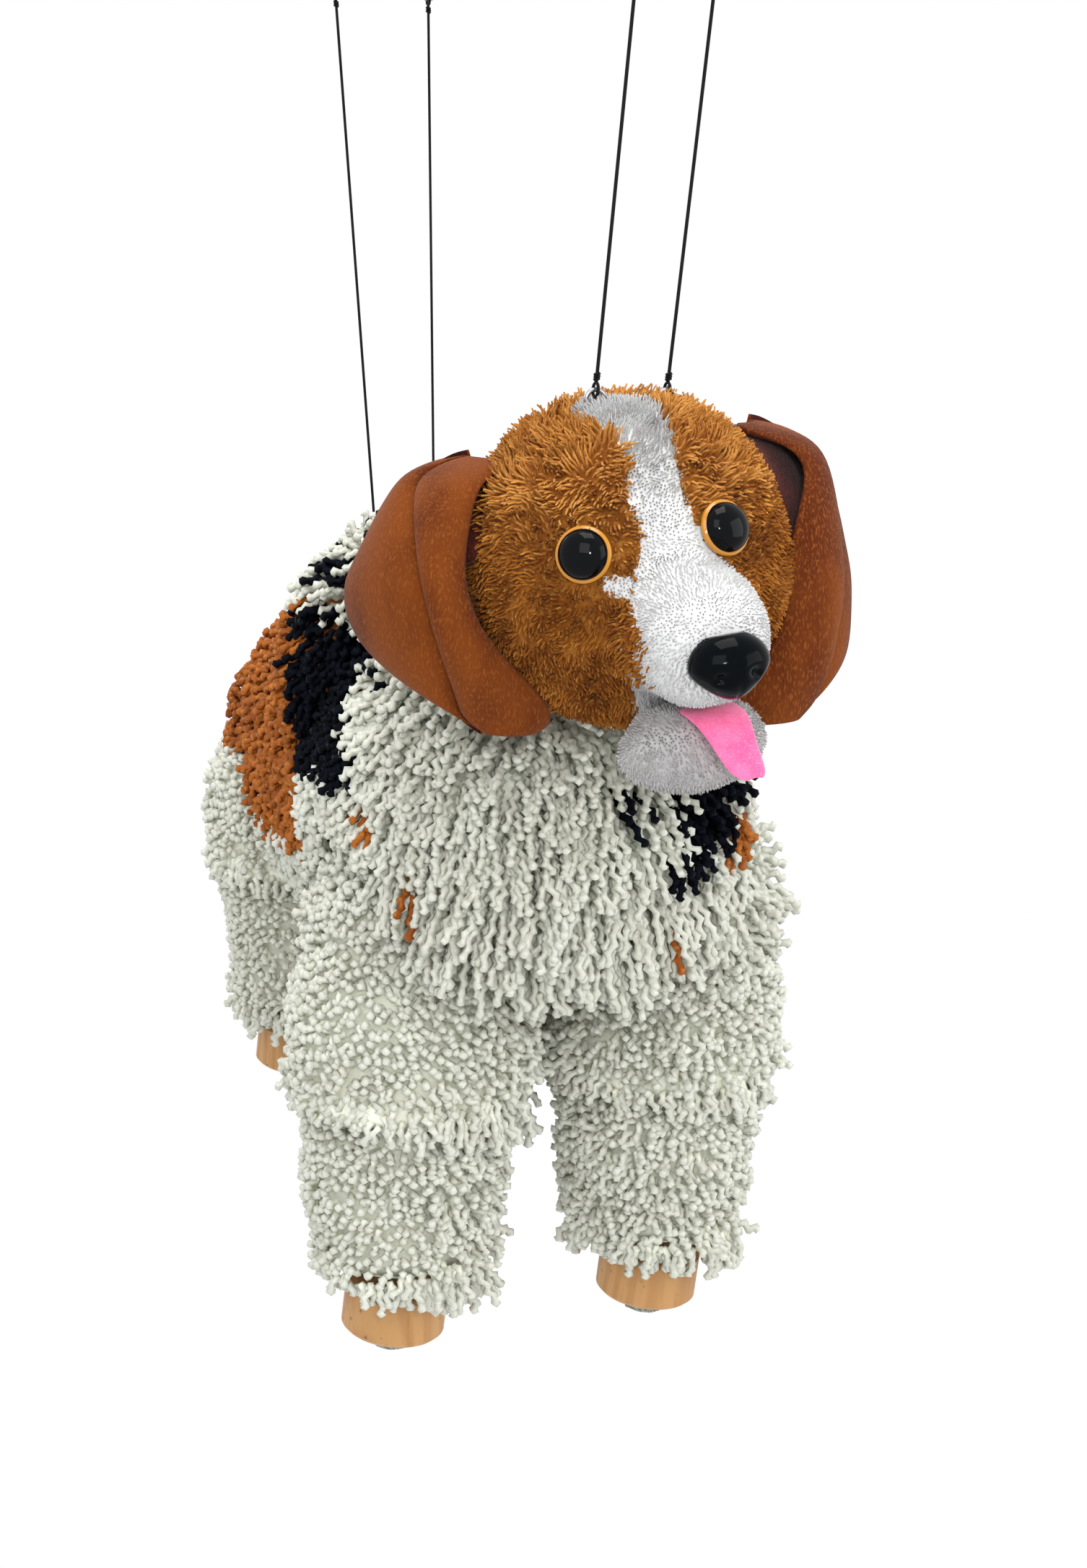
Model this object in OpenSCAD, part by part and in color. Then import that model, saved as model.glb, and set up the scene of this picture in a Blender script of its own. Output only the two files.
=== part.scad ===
// String marionette of a hound: a plush head, a shaggy yarn body on a wooden spine,
// four cord legs with wooden feet, hung by four strings under a wooden control.
// The origin is in the middle of the control's hanging hole, the dog looks along -Y
// and +Z is up. All sizes are in millimetres.

/* [Control] */
// Width of the main bar
main_bar_w = 22; // [18:1:28]
// Thickness of the main bar
main_bar_t = 10; // [8:1:14]
// Length of main bar beyond each cross bar
bar_overhang = 18; // [14:1:30]
// Diameter of the hole that the control hangs by
hang_hole_d = 6; // [4:0.5:8]
// Width of both cross bars
cross_bar_w = 18; // [14:1:24]
// Thickness of both cross bars
cross_bar_t = 8; // [7:1:12]
// Length of the head bar
head_bar_l = 100; // [70:5:140]
// Length of the rump bar
rump_bar_l = 110; // [80:5:150]
// How far the control is turned over the dog, in degrees
control_turn = 5; // [0:1:8]
// Diameter of the screws that hold the cross bars
screw_d = 3.8; // [3:0.2:4.6]

/* [Strings] */
// Diameter of a string
string_d = 1.2; // [0.8:0.1:1.6]
// Distance between the head strings at the head bar
head_bar_gap = 28; // [20:1:60]
// Distance between the head strings at the head
head_string_gap = 25; // [18:1:36]
// Distance between the rump strings at the rump bar
rump_bar_gap = 42; // [30:1:70]
// Distance between the rump strings at the rump
rump_string_gap = 27; // [20:1:40]
// Wire thickness of every screw eye
eye_wire = 1.6; // [1.2:0.1:1.8]
// Radius of a screw eye at the middle of its wire
eye_ring_r = 3.2; // [3:0.1:4]
// Bare stem of a screw eye under a cross bar
eye_stem = 5.6; // [4:0.2:10]

/* [Head] */
// Distance from the hanging hole forward to the head
head_reach = 132; // [120:1:150]
// Depth of the head's middle below the main bar
head_drop = 225; // [215:1:260]
// Radius of the stuffed head
head_r = 55; // [50:0.5:58]
// Sideways tilt of the sewn face, in degrees
face_tilt = 8; // [0:0.5:9]
// Length of the muzzle in front of its seam
muzzle_l = 56; // [50:1:60]
// Radius of the muzzle at its seam
muzzle_r = 28; // [26:0.5:30]
// Radius of the muzzle behind the nose
muzzle_tip_r = 22; // [20:0.5:24]
// Half width of the nose
nose_half_w = 13; // [10:0.5:15]
// Radius of an eye's amber rim
eye_r = 9; // [7:0.25:10]
// Half width of the white chin pad
jaw_half_w = 25; // [20:0.5:28]
// Width of the felt tongue
tongue_w = 17; // [12:0.5:20]
// Width of the white blaze on the forehead
blaze_w = 18; // [12:1:22]
// Thickness of the felt in an ear
ear_felt = 2.6; // [1.6:0.2:3]
// Length of an ear from its root to its tip
ear_l = 92; // [80:1:96]
// Width of an ear
ear_w = 66; // [54:1:70]

/* [Body] */
// Depth of the shoulders' middle below the main bar
body_drop = 328.5; // [322:0.5:350]
// Radius of the body at the shoulders
shoulder_r = 80; // [76:1:82]
// Radius of the body at the rump
rump_r = 84; // [80:1:88]
// Distance between the middles of shoulders and rump
body_l = 150; // [144:1:154]
// Half width of the shaggy mane over the shoulders
mane_half_w = 84; // [78:1:88]
// Radius of the mane, fore and aft
mane_r = 66; // [60:1:70]
// Slope of the back down to the rump, in degrees
back_slope = 8.2; // [5:0.2:11]
// Diameter of the wooden spine rod
spine_d = 14; // [10:1:16]
// Diameter of the wooden beams that carry the legs
beam_d = 18; // [16:1:20]
// Diameter of the cord that runs down every leg
cord_d = 4; // [3:0.2:4.6]

/* [Legs] */
// Distance from the hanging hole forward to the front legs
front_leg_reach = 50; // [44:1:56]
// Distance between the front and hind legs
leg_base = 198; // [190:1:206]
// Half the distance between the front legs
front_leg_half = 54; // [52:0.5:60]
// Half the distance between the hind legs
hind_leg_half = 49; // [48:0.5:58]
// Depth of the front hips below the shoulders' middle
front_hip_drop = 44.5; // [42:0.5:52]
// Depth of the hind hips below the shoulders' middle
hind_hip_drop = 11; // [9:0.5:18]
// Distance from hip to knee
thigh_l = 85; // [80:1:96]
// Distance from knee to ankle
shin_l = 61.5; // [56:0.5:72]
// Radius of a thigh at the hip
thigh_top_r = 36; // [33:0.5:37]
// Radius of a thigh where it is fullest
thigh_r = 46; // [43:0.5:47]
// Radius of a shin at the knee
knee_r = 40; // [36:0.5:41]
// Radius of a shin above the foot
ankle_r = 35; // [30:0.5:38]
// Diameter of a wooden foot
foot_d = 41; // [36:0.5:46]
// Height of a wooden foot
foot_h = 20; // [14:0.5:26]
// Sideways lean of a hanging foot, in degrees
foot_lean = 6; // [0:0.5:6]
// Radius of the knot under a foot
knot_r = 10; // [8:0.5:12]
// Height of the knot under a foot
knot_h = 9; // [6:0.5:12]
// Largest swing of a thigh each way, in degrees
hip_swing = 20; // [15:1:20]
// Largest bend of a knee each way, in degrees
knee_bend = 20; // [15:1:20]

/* [Tail] */
// Length of the tail
tail_l = 85; // [60:1:100]
// Radius of the tail
tail_r = 9.5; // [7:0.5:10]

/* [Hidden] */
$fn = 64;
fit = 0.25;
soft_gap = 1.5;
pivot_gap = 0.3;
far = 400;

// Control levels and places
bar_low_z = -main_bar_t / 2;
cross_low_z = bar_low_z - cross_bar_t;
eye_z = cross_low_z - eye_stem - 2 * eye_ring_r;
head_y = -head_reach;
front_leg_y = -front_leg_reach;
hind_leg_y = front_leg_y + leg_base;
screw_depth = main_bar_t + cross_bar_t - 2;
stem_depth = cross_bar_t - 2;
loop_r = eye_wire / 2 + string_d / 2 + 1;

// Head places
head_c = [0, head_y, -head_drop];
eyelet_rise = 3.4;
head_eyelet_x = head_string_gap / 2;
head_eyelet_up = sqrt(head_r ^ 2 - head_eyelet_x ^ 2) + eyelet_rise;
head_eyelet_z = head_c.z + head_eyelet_up;
eyelet_stem = 14;
eyelet_pocket_r = eye_ring_r + eye_wire / 2 + 0.8;
eye_aim = [23, -47, 15.5];
eye_shift = -8;
eye_rim_t = 2;
eye_shank_r = 2.5;
eye_shank_l = 14;
washer_r = 7;
washer_t = 1.9;
washer_depth = 10;
muzzle_base = [0, -28, -10];
muzzle_dip = 6;
muzzle_round = 20;
nose_r = 10.5;
nose_c = [0, -83, -18];
nose_stem_r = 3;
nose_stem_l = 20;
jaw_r = 15;
jaw_c = [0, -47, -52];
mouth_gap = 1.2;
tongue_t = 1.6;
tongue_bend_r = 12;
tongue_c = [0, -62, -50];
tongue_root = 12;
tongue_drop = 1;
blaze_shift = -3;
blaze_t = 2.2;
ear_turn = -52;
ear_bowl_r = 51;
ear_crease_x = 10;
ear_fold_share = 0.97;
ear_root_x = [-8, 22];
ear_root_y = ear_l / 2 - 0.6;
ear_root_w = [10.2, sqrt(ear_bowl_r ^ 2 - (ear_root_y - ear_felt / 2) ^ 2) + 0.4];
ear_seat = (head_r + pivot_gap) * [-0.73, 0.153, 0.666];
ear_c = ear_seat
    - ear_root_x[1] * [cos(ear_turn), sin(ear_turn), 0]
    - ear_root_w[0] * [sin(ear_turn), -cos(ear_turn), 0]
    - [0, 0, ear_root_y - ear_felt];

// Body places: the axis runs from the shoulders back and down to the rump
shoulder_back = 16;
shoulder_c = [0, front_leg_y + shoulder_back, -body_drop];
body_dir = [0, cos(back_slope), -sin(back_slope)];
rump_c = shoulder_c + body_l * body_dir;
mane_c = shoulder_c + [0, 52, 34.5];
saddle_from = -28;
saddle_to = 18;
rump_eyelet_x = rump_string_gap / 2;
rump_eyelet_z = rump_c.z + sqrt(rump_r ^ 2 - (hind_leg_y - rump_c.y) ^ 2 - rump_eyelet_x ^ 2) + eyelet_rise + 0.6;
cord_r = cord_d / 2;
beam_rise = cord_r + pivot_gap + beam_d / 2;
front_hip_z = shoulder_c.z - front_hip_drop;
hind_hip_z = shoulder_c.z - hind_hip_drop;
shoulder_beam_c = [0, front_leg_y, front_hip_z + beam_rise];
hip_beam_c = [0, hind_leg_y, hind_hip_z + beam_rise];
spine_dir = (hip_beam_c - shoulder_beam_c) / norm(hip_beam_c - shoulder_beam_c);
spine_over = 14;
beam_over = 10;
head_room = 13;
neck_r = 3;
neck_dir = (head_c - shoulder_beam_c) / norm(head_c - shoulder_beam_c);
neck_from = shoulder_beam_c + (beam_d / 2 + pivot_gap) * neck_dir;
neck_l = norm(head_c - neck_from) - head_r - head_room;

// Leg places
hip_room_r = beam_rise + beam_d / 2 + 1.5;
knee_rim = 15;
shin_low = shin_l - 3.5;
foot_gap = 3.5;
swell_steps = 8;

// Tail place, on the back of the rump
tail_up = 30;
tail_hinge = [0, rump_c.y + rump_r + tail_r + 3, rump_c.z + tail_up];
tail_gap = 6;

// A place on the control after it is turned
function turned(p) = [
    p.x * cos(control_turn) - p.y * sin(control_turn),
    p.x * sin(control_turn) + p.y * cos(control_turn),
    p.z
];

// Outline points of a pear: a large round end, a straight flank and a small round end
function pear(r1, r2, l, steps) =
    let (lean = asin((r1 - r2) / l))
    concat(
        [for (i = [0 : steps]) let (a = -90 + (90 + lean) * i / steps) [r1 * cos(a), r1 * sin(a)]],
        [for (i = [0 : steps]) let (a = lean + (90 - lean) * i / steps) [r2 * cos(a), l + r2 * sin(a)]]
    );

// A round bar from one point to another
module rod(from, to, r) {
    d = to - from;
    l = norm(d);
    translate(from)
        rotate([0, acos(d.z / l), atan2(d.y, d.x)])
            cylinder(h = l, r = r);
}

// A ring of wire or string, lying flat
module ring(mid_r, wire_r) {
    rotate_extrude()
        translate([mid_r, 0])
            circle(r = wire_r);
}

// A swollen round form, long along Z
module spheroid(half_l, r, steps = 14) {
    rotate_extrude()
        polygon([for (i = [0 : steps]) let (a = 180 * i / steps) [r * sin(a), -half_l * cos(a)]]);
}

// A flat bar with round ends, lying along X with its top at zero
module round_bar(l, w, t) {
    translate([0, 0, -t])
        linear_extrude(t) {
            square([l - w, w], center = true);
            for (side = [-1, 1])
                translate([side * (l - w) / 2, 0])
                    circle(d = w);
        }
}

// Turns its children about the direction given, from straight up
module aimed(d) {
    rotate([0, acos(d.z / norm(d)), atan2(d.y, d.x)])
        children();
}

module on_control() {
    rotate([0, 0, control_turn])
        children();
}

module in_head() {
    translate(head_c)
        children();
}

module in_face() {
    in_head()
        rotate([0, -face_tilt, 0])
            children();
}

// Children swung about a crosswise axis through a point
module swung(at, angle) {
    translate(at)
        rotate([angle, 0, 0])
            children();
}

module main_bar() {
    color("burlywood")
        on_control()
            difference() {
                translate([0, (head_y + hind_leg_y) / 2, main_bar_t / 2])
                    rotate([0, 0, 90])
                        round_bar(hind_leg_y - head_y + 2 * bar_overhang, main_bar_w, main_bar_t);
                cylinder(d = hang_hole_d, h = far, center = true);
                for (y = [head_y, hind_leg_y])
                    translate([0, y, 0])
                        cylinder(d = screw_d + 2 * fit, h = far, center = true);
            }
}

module cross_bar(l, y, gap) {
    color("burlywood")
        on_control()
            difference() {
                translate([0, y, bar_low_z])
                    round_bar(l, cross_bar_w, cross_bar_t);
                translate([0, y, bar_low_z - cross_bar_t + 1.5])
                    cylinder(d = screw_d + 2 * fit, h = far);
                for (side = [-1, 1])
                    translate([side * gap / 2, y, cross_low_z - 1])
                        cylinder(d = eye_wire + 2 * fit, h = 1 + stem_depth + fit);
            }
}

module head_bar() {
    cross_bar(head_bar_l, head_y, head_bar_gap);
}

module rump_bar() {
    cross_bar(rump_bar_l, hind_leg_y, rump_bar_gap);
}

module bar_screws() {
    color("silver")
        on_control()
            for (y = [head_y, hind_leg_y])
                translate([0, y, main_bar_t / 2]) {
                    difference() {
                        intersection() {
                            translate([0, 0, -1.2 * screw_d])
                                sphere(r = 1.9 * screw_d);
                            cylinder(r = 2 * screw_d, h = screw_d);
                        }
                        translate([-screw_d, -0.5, 0.5 * screw_d])
                            cube([2 * screw_d, 1, screw_d]);
                    }
                    translate([0, 0, -screw_depth])
                        cylinder(d = screw_d, h = screw_depth);
                }
}

// A screw eye that hangs from a bar, its lowest wire at the level of the string loop
module bar_eyes(y, gap) {
    color("silver")
        on_control()
            for (side = [-1, 1])
                translate([side * gap / 2, y, eye_z]) {
                    translate([0, 0, eye_ring_r])
                        rotate([90, 0, 0])
                            ring(eye_ring_r, eye_wire / 2);
                    translate([0, 0, 2 * eye_ring_r])
                        cylinder(d = eye_wire, h = eye_stem + stem_depth);
                }
}

module head_bar_eyes() {
    bar_eyes(head_y, head_bar_gap);
}

module rump_bar_eyes() {
    bar_eyes(hind_leg_y, rump_bar_gap);
}

// A taut string with a tied loop at each end
module string(bar_x, bar_y, low) {
    top = turned([bar_x, bar_y, eye_z]);
    dir = (top - low) / norm(top - low);
    color("black") {
        rod(low + loop_r * dir, top - loop_r * dir, string_d / 2);
        translate(top)
            rotate([0, 90, control_turn])
                ring(loop_r, string_d / 2);
        translate(low)
            rotate([0, 90, 0])
                ring(loop_r, string_d / 2);
    }
}

module head_string(side) {
    string(side * head_bar_gap / 2, head_y, [side * head_eyelet_x, head_y, head_eyelet_z]);
}

module rump_string(side) {
    string(side * rump_bar_gap / 2, hind_leg_y, [side * rump_eyelet_x, hind_leg_y, rump_eyelet_z]);
}

// One plastic eye: amber rim, black dome and the shank through the plush
module eye_solid() {
    translate([0, 0, -eye_rim_t / 2])
        cylinder(r = eye_r, h = eye_rim_t);
    intersection() {
        translate([0, 0, -0.4 * eye_r])
            sphere(r = 1.06 * eye_r);
        cylinder(r = 2 * eye_r, h = eye_r);
    }
    translate([0, 0, -eye_shank_l])
        cylinder(r = eye_shank_r, h = eye_shank_l);
}

module eye_place(side) {
    in_face() {
        aim = [side * eye_aim.x + eye_shift, eye_aim.y, eye_aim.z];
        translate(head_r * aim / norm(aim))
            aimed(aim)
                children();
    }
}

module eye(side) {
    color("black")
        eye_place(side)
            eye_solid();
}

module eye_washers() {
    color("ivory")
        for (side = [-1, 1])
            eye_place(side)
                translate([0, 0, -washer_depth - washer_t])
                    difference() {
                        cylinder(r = washer_r, h = washer_t);
                        translate([0, 0, -1])
                            cylinder(r = eye_shank_r + fit, h = washer_t + 2);
                    }
}

// Seats of the eyes in the plush, with room for their shanks and washers
module eye_pockets() {
    for (side = [-1, 1])
        eye_place(side) {
            translate([0, 0, -eye_rim_t / 2 - fit])
                cylinder(r = eye_r + fit, h = 2 * eye_r);
            translate([0, 0, -eye_shank_l - fit])
                cylinder(r = eye_shank_r + fit, h = eye_shank_l + 1);
            translate([0, 0, -washer_depth - washer_t - fit])
                cylinder(r = washer_r + fit, h = washer_t + 2 * fit);
        }
}

// Pockets in the crown for the rings of the head eyelets, with holes for their stems
module eyelet_pockets() {
    in_head()
        for (side = [-1, 1])
            translate([side * head_eyelet_x, 0, head_eyelet_up - 2 * eye_ring_r]) {
                translate([0, 0, -eye_wire])
                    cylinder(r = eyelet_pocket_r, h = head_r);
                translate([0, 0, -eyelet_stem - fit])
                    cylinder(d = eye_wire + 2 * fit, h = eyelet_stem + 1);
            }
}

module head_form() {
    color("peru")
        difference() {
            in_head()
                sphere(r = head_r);
            eye_pockets();
            eyelet_pockets();
        }
}

module head_eyelets() {
    color("silver")
        in_head()
            for (side = [-1, 1])
                translate([side * head_eyelet_x, 0, head_eyelet_up - eye_ring_r]) {
                    rotate([90, 0, 0])
                        ring(eye_ring_r, eye_wire / 2);
                    translate([0, 0, -eye_ring_r - eyelet_stem])
                        cylinder(d = eye_wire, h = eyelet_stem);
                }
}

// The white snout before it is cut to sit on the head
module muzzle_form(grow = 0) {
    straight = muzzle_l - muzzle_round;
    translate(muzzle_base)
        rotate([90 + muzzle_dip, 0, 0])
            rotate_extrude()
                polygon(concat(
                    [[0, 0], [muzzle_r + grow, 0]],
                    [for (i = [0 : 11]) let (a = 90 * i / 11) [
                        (muzzle_tip_r + grow) * cos(a),
                        straight + (muzzle_round + grow) * sin(a)
                    ]]
                ));
}

module nose_form(grow = 0) {
    translate(nose_c) {
        rotate([0, 90, 0])
            spheroid(nose_half_w + grow, nose_r + grow);
        rotate([-90, 0, 0])
            cylinder(r = nose_stem_r + grow, h = nose_stem_l + grow);
    }
}

module muzzle() {
    color("white")
        difference() {
            in_face()
                difference() {
                    muzzle_form();
                    sphere(r = head_r + fit);
                    nose_form(fit);
                }
            eye_pockets();
        }
}

module nose() {
    color("black")
        in_face()
            nose_form();
}

module blaze() {
    color("white")
        difference() {
            in_face()
                difference() {
                    intersection() {
                        rotate([0, 90, 0])
                            sphere(r = head_r + blaze_t);
                        translate([blaze_shift - blaze_w / 2, -far, 0])
                            cube([blaze_w, far + 12, far]);
                    }
                    rotate([0, 90, 0])
                        sphere(r = head_r + fit);
                    muzzle_form(fit);
                }
            eye_pockets();
            eyelet_pockets();
        }
}

// The felt tongue: a flat root in the mouth, a bend over the lip and a hanging tip
module tongue_form(grow = 0) {
    w = tongue_w + 2 * grow;
    t = tongue_t + 2 * grow;
    mid_r = tongue_bend_r - tongue_t / 2;
    translate(tongue_c) {
        rotate([0, -90, 0])
            rotate_extrude(angle = -90)
                translate([mid_r - t / 2, -w / 2])
                    square([t, w]);
        translate([-w / 2, 0, mid_r - t / 2])
            cube([w, tongue_root, t]);
        translate([-w / 2, -mid_r - t / 2, -tongue_drop])
            cube([w, t, tongue_drop]);
        translate([0, -mid_r - t / 2, -tongue_drop])
            rotate([-90, 0, 0])
                cylinder(d = w, h = t);
    }
}

module tongue() {
    color("hotpink")
        in_face()
            tongue_form();
}

module lower_jaw() {
    color("white")
        in_face()
            difference() {
                translate(jaw_c)
                    rotate([0, 90, 0])
                        spheroid(jaw_half_w, jaw_r);
                sphere(r = head_r + fit);
                muzzle_form(mouth_gap);
                tongue_form(pivot_gap);
            }
}

// Outline of an ear seen along its fold: narrow at the root, wide and round below
module ear_outline() {
    polygon([for (i = [0 : 35]) let (a = 10 * i) [
        ear_w / 2 * sin(a) * (1 - 0.22 * cos(a)),
        ear_l / 2 * cos(a)
    ]]);
}

// A cupped layer of felt cut to an outline, its middle at the radius given
module felt_layer(mid_r) {
    intersection() {
        rotate([90, 0, 0])
            difference() {
                sphere(r = mid_r + ear_felt / 2);
                sphere(r = mid_r - ear_felt / 2);
            }
        linear_extrude(far)
            children();
    }
}

// The dog's right ear: a cupped felt leaf, its front edge folded over, on a sewn root
module ear_form() {
    translate(ear_c)
        rotate([90, 0, ear_turn]) {
            felt_layer(ear_bowl_r)
                ear_outline();
            translate([0, 0, 0.8 * ear_felt])
                felt_layer(ear_bowl_r)
                    intersection() {
                        scale(ear_fold_share)
                            ear_outline();
                        translate([ear_crease_x, -ear_l])
                            square([ear_w, 1.8 * ear_l - ear_root_y]);
                    }
            translate([ear_root_x[0], ear_root_y - ear_felt, ear_root_w[0]])
                cube([ear_root_x[1] - ear_root_x[0], ear_felt, ear_root_w[1] - ear_root_w[0]]);
        }
}

module ear(side) {
    color("chocolate")
        in_head()
            mirror([side > 0 ? 1 : 0, 0, 0])
                ear_form();
}

// The whole body before it is parted: a pear laid along the back, and the mane over its shoulders
module body_form() {
    translate(mane_c)
        rotate([0, 90, 0])
            spheroid(mane_half_w, mane_r);
    translate(shoulder_c)
        rotate([-90 - back_slope, 0, 0])
            rotate_extrude()
                polygon(pear(shoulder_r, rump_r, body_l, 10));
}

// Room for a pair of legs under the body, through their whole swing
module leg_room(y, z) {
    translate([-far / 2, y, z])
        rotate([0, 90, 0])
            cylinder(r = thigh_top_r + soft_gap, h = far);
    for (angle = [-hip_swing, hip_swing])
        swung([0, y, z], angle)
            translate([-far / 2, -thigh_r - soft_gap, -far])
                cube([far, 2 * (thigh_r + soft_gap), far]);
}

// What every body piece leaves free: legs, head, spine, neck cord and rump stems
module body_room() {
    leg_room(front_leg_y, front_hip_z);
    leg_room(hind_leg_y, hind_hip_z);
    in_head()
        sphere(r = head_r + head_room);
    rod(shoulder_beam_c - far * spine_dir, hip_beam_c + far * spine_dir, spine_d / 2 + fit);
    rod(neck_from, head_c, neck_r + fit);
    for (side = [-1, 1])
        translate([side * rump_eyelet_x, hind_leg_y, hip_beam_c.z]) {
            cylinder(d = eye_wire + 2 * fit, h = far);
            translate([0, 0, rump_eyelet_z - hip_beam_c.z - 2 * eye_ring_r - eye_wire])
                cylinder(r = eyelet_pocket_r, h = far);
        }
}

// A slice of the body between two places along its back
module body_slice(from, to) {
    difference() {
        intersection() {
            body_form();
            translate(shoulder_c)
                rotate([-90 - back_slope, 0, 0])
                    translate([0, 0, from])
                        cylinder(r = far, h = to - from);
        }
        body_room();
    }
}

module chest_ruff() {
    color("ivory")
        body_slice(-far, saddle_from);
}

module saddle_band() {
    color("midnightblue")
        body_slice(saddle_from, saddle_to);
}

module rump_band() {
    color("chocolate")
        difference() {
            body_slice(saddle_to, far);
            rod(tail_hinge - [0, far, 0], tail_hinge, cord_r + fit);
        }
}

module spine_rod() {
    color("burlywood")
        difference() {
            rod(shoulder_beam_c - spine_over * spine_dir, hip_beam_c + spine_over * spine_dir, spine_d / 2);
            rod(neck_from, neck_from + 2 * beam_d * neck_dir, neck_r + fit);
        }
}

// A crosswise beam with round ends that the leg cords of one pair hang from
module beam(c, half, stems) {
    color("burlywood")
        difference() {
            translate(c)
                rotate([0, 90, 0]) {
                    translate([0, 0, -half - beam_over])
                        cylinder(d = beam_d, h = 2 * (half + beam_over));
                    for (side = [-1, 1])
                        translate([0, 0, side * (half + beam_over)])
                            cylinder(d = beam_d - 4, h = 4, center = true);
                }
            rod(shoulder_beam_c - far * spine_dir, hip_beam_c + far * spine_dir, spine_d / 2 + fit);
            if (stems)
                for (side = [-1, 1])
                    translate(c + [side * rump_eyelet_x, 0, 0])
                        cylinder(d = eye_wire + 2 * fit, h = beam_d);
        }
}

module shoulder_beam() {
    beam(shoulder_beam_c, front_leg_half, false);
}

module hip_beam() {
    beam(hip_beam_c, hind_leg_half, true);
}

module rump_eyelets() {
    color("silver")
        for (side = [-1, 1])
            translate([side * rump_eyelet_x, hind_leg_y, 0]) {
                translate([0, 0, rump_eyelet_z - eye_ring_r])
                    rotate([90, 0, 0])
                        ring(eye_ring_r, eye_wire / 2);
                translate([0, 0, hip_beam_c.z + fit])
                    cylinder(d = eye_wire, h = rump_eyelet_z - 2 * eye_ring_r - hip_beam_c.z - fit);
            }
}

module neck_cord() {
    color("ivory")
        rod(neck_from, neck_from + neck_l * neck_dir, neck_r);
}

module tail_anchor() {
    color("ivory")
        rod(tail_hinge - [0, tail_r + 40, 0], tail_hinge - [0, cord_r + pivot_gap, 0], cord_r);
}

module tail_fringe() {
    color("chocolate")
        translate(tail_hinge)
            difference() {
                translate([0, 0, -tail_gap - (tail_l - tail_gap) / 2])
                    spheroid((tail_l - tail_gap) / 2, tail_r);
                translate([0, 0, -tail_l + 12])
                    cylinder(r = cord_r + fit, h = tail_l);
            }
}

module tail_cord() {
    color("ivory")
        translate(tail_hinge) {
            sphere(r = cord_r);
            translate([0, 0, -tail_l + 12 + fit])
                cylinder(r = cord_r, h = tail_l - 12 - fit);
        }
}

// Radius of a thigh at a share of the way from the hip to its lower rim
function thigh_at(share) = thigh_top_r + (thigh_r - thigh_top_r) * sin(90 * min(1, 1.5 * share));

// A yarn thigh: a round head at the hip, a swelling side and a hollow over the knee
module thigh(hip, beam_half) {
    rim = thigh_l - knee_rim;
    color("ivory")
        translate(hip)
            difference() {
                rotate_extrude()
                    polygon(concat(
                        [[0, -rim]],
                        [for (i = [swell_steps : -1 : 0]) let (s = i / swell_steps) [thigh_at(s), -rim * s]],
                        [for (i = [1 : swell_steps]) let (a = 90 * i / swell_steps) [
                            thigh_top_r * cos(a),
                            thigh_top_r * sin(a)
                        ]]
                    ));
                translate([0, 0, -thigh_l])
                    sphere(r = knee_r + soft_gap);
                translate([0, 0, -far / 2])
                    cylinder(r = cord_r + fit, h = far);
                translate([-hip.x - beam_half, 0, 0])
                    rotate([0, 90, 0])
                        cylinder(r = hip_room_r, h = 2 * beam_half);
            }
}

module thigh_cord(hip) {
    color("gainsboro")
        translate(hip) {
            sphere(r = cord_r);
            translate([0, 0, -thigh_l + cord_r + pivot_gap])
                cylinder(r = cord_r, h = thigh_l - cord_r - pivot_gap);
        }
}

// A yarn shin: a round knee, a taper to the ankle and a funnel for the thigh's cord
module shin(hip) {
    color("ivory")
        translate(hip - [0, 0, thigh_l])
            difference() {
                rotate_extrude()
                    polygon(concat(
                        [[0, -shin_low], [ankle_r - 4, -shin_low], [ankle_r, -shin_low + 5]],
                        [for (i = [0 : swell_steps]) let (a = 90 * i / swell_steps) [knee_r * cos(a), knee_r * sin(a)]]
                    ));
                cylinder(r1 = cord_r + 1, r2 = cord_r + 1 + (knee_r + 1) * tan(knee_bend), h = knee_r + 1);
                translate([0, 0, -far / 2])
                    cylinder(r = cord_r + fit, h = far);
            }
}

module shin_cord(hip) {
    color("gainsboro")
        translate(hip - [0, 0, thigh_l]) {
            sphere(r = cord_r);
            translate([0, 0, -shin_l + cord_r + pivot_gap])
                cylinder(r = cord_r, h = shin_l - cord_r - pivot_gap);
        }
}

// The ankle of the leg that hangs from a hip, with the foot's lean
module at_ankle(hip) {
    translate(hip - [0, 0, thigh_l + shin_l])
        rotate([0, foot_lean, 0])
            children();
}

// A turned wooden foot with softened edges, drilled for its cord
module foot(hip) {
    soft = 1.5;
    r = foot_d / 2;
    color("tan")
        at_ankle(hip)
            translate([0, 0, -foot_gap - foot_h])
                difference() {
                    rotate_extrude()
                        polygon([
                            [0, 0], [r - soft, 0], [r, soft],
                            [r, foot_h - soft], [r - soft, foot_h], [0, foot_h]
                        ]);
                    translate([0, 0, -1])
                        cylinder(r = cord_r + fit, h = foot_h + 2);
                }
}

// The cord through a foot and the big glued knot that holds the foot on
module knot(hip) {
    color("darkgray")
        at_ankle(hip) {
            sphere(r = cord_r);
            translate([0, 0, -foot_gap - foot_h])
                cylinder(r = cord_r, h = foot_gap + foot_h);
            translate([0, 0, -foot_gap - foot_h - knot_h])
                rotate_extrude()
                    polygon(concat(
                        [[0, 0]],
                        [for (i = [0 : 6]) let (a = 90 * i / 6) [
                            knot_r * (0.6 + 0.4 * sin(a)),
                            0.6 * knot_h * (1 - cos(a))
                        ]],
                        [[0.9 * knot_r, knot_h], [0, knot_h]]
                    ));
        }
}

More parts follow.
